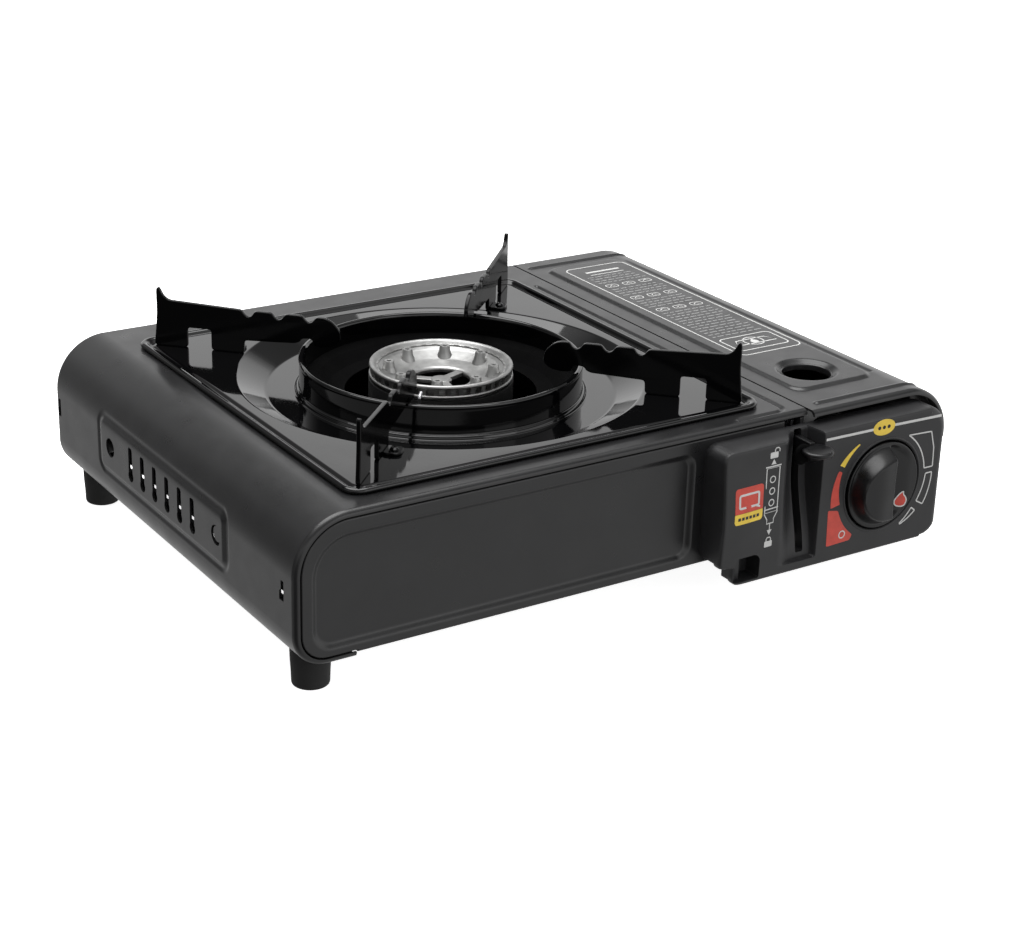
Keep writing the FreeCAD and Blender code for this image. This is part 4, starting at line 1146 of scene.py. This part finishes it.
def dial_marks():
    """White rule, yellow oval and the coloured sectors round the knob."""
    oval_x, oval_z = 120.9, 69.9
    half = 6.5
    rule = [stroke_print([(87.0, 70.2), (oval_x - half, oval_z)], 1.2, on_face),
            stroke_print([(oval_x + half, oval_z), (155.8, 69.2)], 1.2, on_face)]
    wedge = [clock(25.6, 33 + 50 * k / 8) for k in range(9)] + [(153.4, 44.6), (153.0, 54.0), (150.6, 62.3)]
    band = sector(89.5, 119.5, (26.6, 25.8), (30.5, 30.6), 8)
    sliver = sector(128, 149, (25.2, 25.8), (28.2, 26.4), 8)
    for outline in (wedge, band, sliver):
        rule.append(stroke_print(soften(outline, 0.4, 2), 0.62, on_face, closed=True))
    rule.append(stroke_print(circle(101.0, 21.4, 1.7, 20), 0.55, over_marks, closed=True))
    print_piece("dial_rule", "white_print", rule, "casing")
    oval = [(oval_x + half * math.cos(t), oval_z + 3.8 * math.sin(t))
            for t in np.linspace(0, 2 * math.pi, 48, endpoint=False)]
    swoosh = sector(-61, -34.5, (27.0, 27.2), (30.0, 27.9))
    yellow = [fill_print(oval, on_face), fill_print(swoosh, on_face)]
    print_piece("dial_yellow", "yellow_print", yellow, "casing")
    dots = [fill_print(circle(oval_x + step, oval_z, 0.9, 16), over_marks, 2) for step in (-2.8, 0.0, 2.8)]
    print_piece("dial_dots", "knob_plastic", dots, "casing")
    high = sector(-101, -66, (25.0, 27.0), (30.4, 29.2))
    low = [clock(26.4, -107 - 37 * k / 8) for k in range(9)] + [(105.9, 17.6), (92.2, 17.1), (91.6, 35.0)]
    red = [fill_print(soften(high, 0.5, 2), on_face), fill_print(soften(low, 0.8, 2), on_face)]
    print_piece("dial_red", "red_print", red, "casing")


def padlock(x, z, shift):
    """Small padlock; a shift of the bow shows it open."""
    bow = [(-1.3, 1.2), (-1.3, 2.4), (-0.7, 3.1), (0.7, 3.1), (1.3, 2.4), (1.3, 1.2)]
    lock = rounded_loop((x - 2.2, x + 2.2), (z - 1.5, z + 1.3), [0.4] * 4, 3, 3)
    return [fill_print(lock, on_face, 3),
            stroke_print([(x + a + shift, z + b) for a, b in bow], 0.5, on_face)]


def sticker_marks():
    """Two-colour sticker, cartridge outline and arrows left of the lever."""
    left, right = 36.4, 52.4
    split = 45.2
    red = rounded_loop((left, right), (split, 57.0), [0.3, 0.3, 1.6, 1.6], 5, 8)
    yellow = rounded_loop((left, right), (40.0, split - 0.15), [1.6, 1.6, 0.3, 0.3], 5, 8)
    print_piece("sticker_red", "red_print", [fill_print(red, on_face)], "casing")
    print_piece("sticker_yellow", "yellow_print", [fill_print(yellow, on_face)], "casing")
    window = soften([(38.9, 47.6), (49.8, 47.6), (49.8, 53.6), (38.9, 53.6)], 0.8, 3)
    marks = [stroke_print(window, 1.0, over_marks, closed=True),
             stroke_print([(47.6, 47.7), (50.6, 46.6)], 0.8, over_marks)]
    x0, x1 = 53.8, 61.2
    z0, z1 = 42.0, 63.0
    middle = (x0 + x1) / 2
    can = [(x0, z0), (x1, z0), (x1, z1), (x0, z1)]
    marks.append(stroke_print(can, 0.55, on_face, closed=True))
    neck = [(x0 - 0.3, z0 - 0.2), (middle - 2.0, 38.6), (middle - 2.0, 36.6), (middle + 2.0, 36.6),
            (middle + 2.0, 38.6), (x1 + 0.3, z0 - 0.2)]
    for line, width in (([(x0 - 0.7, z1 + 0.7), (x1 + 0.7, z1 + 0.7)], 0.6),
                        ([(x0 - 0.5, z0 + 1.6), (x1 + 0.5, z0 + 1.6)], 0.5), (neck, 0.5)):
        marks.append(stroke_print(line, width, on_face))
    for low, high in ((64.6, 67.0), (33.4, 31.0)):
        arrow = [(middle - 1.4, low), (middle + 1.4, low), (middle, high)]
        marks.append(fill_print(arrow, on_face, 3))
    marks.append(stroke_print([(middle, 36.4), (middle, 33.4)], 0.5, on_face))
    for z in (46.5, 52.0, 57.5):
        marks.append(stroke_print(circle(middle, z, 1.5, 14), 0.5, on_face, closed=True))
    marks += padlock(middle, 69.0, 1.6) + padlock(middle, 26.6, 0.0)
    print_piece("sticker_marks", "white_print", marks, "casing")
    starts = [left + 1.9 + 2.1 * k for k in range(6)]
    dashes = [stroke_print([(x, 42.6), (x + 1.5, 42.6)], 1.4, over_marks) for x in starts]
    print_piece("sticker_dashes", "black_plastic", dashes, "casing")


def flame(cx, cz, size):
    """Plain flame outline."""
    points = [(0.0, -0.9), (0.55, -0.75), (0.8, -0.25), (0.62, 0.25), (0.3, 0.55), (0.34, 1.0), (-0.1, 0.72),
              (-0.45, 0.3), (-0.75, -0.2), (-0.55, -0.75)]
    return soften([(cx + a * size, cz + b * size) for a, b in points], size * 0.25, 3)


def knob_marks():
    """Red flame on the knob's hollow, with a white line round it."""
    def place(x, z, lift):
        return (x, KNOB_DISC_Y - knob_height(x - KNOB_X, z - KNOB_Z) - lift, z)

    outline = flame(135.0, 31.8, 4.1)
    print_piece("knob_flame", "red_print", [fill_print(outline, place)], "knob")
    line = stroke_print(outline, 0.55, place, closed=True, lift=INK * 2)
    print_piece("knob_flame_line", "white_print", [line], "knob")


def label_text(y, rng):
    """One line of plain bars in place of writing."""
    words = []
    x = 107.5
    while x < 135.5:
        word = float(rng.uniform(1.8, 5.0))
        words.append(stroke_print([(x, y), (min(x + word, 137.5), y)], 0.75, on_lid))
        x += word + 1.0
    return words


def label_icons(y):
    """Row of three small pictures, each a frame with a bent line in it."""
    icons = []
    for x in (112.0, 122.5, 133.0):
        frame_line = rounded_loop((x - 3.4, x + 3.4), (y - 2, y + 2), [1.4] * 4, 4, 3)
        icons.append(stroke_print(frame_line, 0.5, on_lid, closed=True))
        bent = [(x - 1.8, y - 0.7), (x + 0.2, y + 0.9), (x + 1.8, y - 0.4)]
        icons.append(stroke_print(bent, 0.55, on_lid))
    return icons


def label_picture(y):
    """Framed sketch of a stove's outline with a ringed flame."""
    frame_line = rounded_loop((107.4, 137.6), (y - 9.5, y + 8.5), [2.6] * 4, 5, 6)
    stove = [(110.5, y - 3), (114, y + 3), (131, y + 3), (134.5, y - 3)]
    lines = ((frame_line, 0.7), (stove, 0.8), (circle(122.5, y, 5.2, 28), 0.7))
    picture = [stroke_print(line, width, on_lid, closed=True) for line, width in lines]
    return picture + [fill_print(flame(122.5, y - 0.2, 2.9), on_lid, 3)]


def lid_label():
    """White rounded frame on the lid with rows of plain bars and small pictures."""
    outline = rounded_loop((104, 141), (-41.7, 110), [4] * 4, 8, 30)
    marks = [stroke_print(outline, 0.7, on_lid, closed=True)]
    grey = []
    rng = np.random.default_rng(7)
    y = 104.0
    rows = [("bar", 3.0), ("bar", 1.2)] + [("text", 1.0)] * 4
    for lines in (4, 4, 13):
        rows += [("icons", 6.0)] + [("text", 1.0)] * lines
    rows.append(("picture", 20.0))
    for kind, height in rows:
        y -= height / 2 + 1.4
        if kind == "bar":
            marks.append(stroke_print([(112, y), (133, y)], height * 0.6, on_lid))
        if kind == "text":
            grey += label_text(y, rng)
        if kind == "icons":
            marks += label_icons(y)
        if kind == "picture":
            marks += label_picture(y)
        y -= height / 2 + 1.0
    print_piece("lid_label_marks", "white_print", marks, "lid")
    print_piece("lid_label_lines", "grey_print", grey, "lid")


# ---------------------------------------------------------------- CAD nodes that stay

def paint_nodes():
    """Finishes for the CAD nodes whose own shape is shown."""
    for entry in frame["record"]["subparts"]:
        node = nodes[entry["node"]]
        node.data.materials.clear()
        node.data.materials.append(PAINTS[entry["material_slot"]])


# ---------------------------------------------------------------- stage, light and camera

def room_light():
    """White room that the gloss mirrors, with one dark band and two dim patches to the left."""
    world = bpy.data.worlds.new("room")
    bpy.context.scene.world = world
    world.use_nodes = True
    tree = world.node_tree
    toward = tree.nodes.new("ShaderNodeTexCoord").outputs["Generated"]
    split = add_node(tree, "SeparateXYZ", {}, {"Vector": toward})
    level = add_node(tree, "MapRange", {"From Min": -1.0}, {"Value": split.outputs["Z"]})
    ramp = add_node(tree, "ValToRGB", {}, {"Fac": level.outputs["Result"]})
    made = ramp.color_ramp.elements
    for height, value in ROOM_BANDS[1:-1]:
        made.new(height)
    for stop, (height, value) in zip(made, ROOM_BANDS):
        stop.position = height
        stop.color = (value, value, value, 1)
    light = ramp.outputs["Color"]
    for direction, first, last, least in DIM_PATCHES:
        facing = add_node(tree, "VectorMath", {}, {"Vector": toward}, "DOT_PRODUCT")
        facing.inputs[1].default_value = direction
        span = {"From Min": first, "From Max": last, "To Min": 1.0, "To Max": least}
        share = add_node(tree, "MapRange", span, {"Value": facing.outputs["Value"]})
        sources = {"Vector": light, "Scale": share.outputs["Result"]}
        light = add_node(tree, "VectorMath", {}, sources, "SCALE").outputs["Vector"]
    tree.links.new(light, tree.nodes["Background"].inputs["Color"])
    tree.nodes["Background"].inputs["Strength"].default_value = 1.0


def studio():
    """Pale floor that glows a little, the room round it, and soft lamps."""
    half = FLOOR_HALF
    square = [(-half, -half, 0), (half, -half, 0), (half, half, 0), (-half, half, 0)]
    floor = make_object("floor", Shape().flat(square))
    pale = material("pale_floor", (0.9, 0.9, 0.9), 0.8, specular=0.2, tint=0.01, spread=0.02)
    floor.data.materials.append(pale)
    shader = pale.node_tree.nodes["Principled BSDF"]
    shader.inputs["Emission Color"].default_value = (1, 1, 1, 1)
    shader.inputs["Emission Strength"].default_value = FLOOR_GLOW
    floor.visible_diffuse = False
    floor.visible_glossy = False
    room_light()
    for name, place, size, power in LAMPS:
        light = bpy.data.lights.new(name, "AREA")
        light.shape = "DISK"
        light.size = size
        light.energy = power
        lamp = bpy.data.objects.new(name, light)
        bpy.context.scene.collection.objects.link(lamp)
        lamp.location = Vector(place) * MM
        aim = Vector((0, 0, 50)) * MM - lamp.location
        lamp.rotation_mode = "QUATERNION"
        lamp.rotation_quaternion = aim.to_track_quat("-Z", "Y")
    bpy.context.scene.view_settings.view_transform = "Standard"


def camera():
    """Camera at the viewing angle: turned about the vertical, tilted down, and rolled a little."""
    azimuth = math.radians(VIEW_AZIMUTH)
    elevation = math.radians(VIEW_ELEVATION)
    roll = math.radians(VIEW_ROLL)
    forward = Vector((math.sin(azimuth) * math.cos(elevation), math.cos(azimuth) * math.cos(elevation),
                      -math.sin(elevation)))
    right = forward.cross(Vector((0, 0, 1))).normalized()
    up = right.cross(forward)
    turned_right = right * math.cos(roll) + up * math.sin(roll)
    turned_up = up * math.cos(roll) - right * math.sin(roll)
    data = bpy.data.cameras.new("view")
    data.lens = VIEW_LENS
    data.sensor_width = 36.0
    data.clip_start = 0.02
    data.clip_end = 60.0
    view = bpy.data.objects.new("view", data)
    bpy.context.scene.collection.objects.link(view)
    axes = Matrix((turned_right, turned_up, -forward)).transposed().to_4x4()
    view.matrix_world = Matrix.Translation(Vector(VIEW_PLACE) * MM) @ axes
    bpy.context.scene.camera = view


camera()
studio()
paint_nodes()
body_shell()
front_plate()
rear_plate()
cartridge_lid()
drip_tray()
pan_supports()
burner_head()
feet()
control_panel()
control_knob()
lock_lever()
dial_marks()
sticker_marks()
knob_marks()
lid_label()
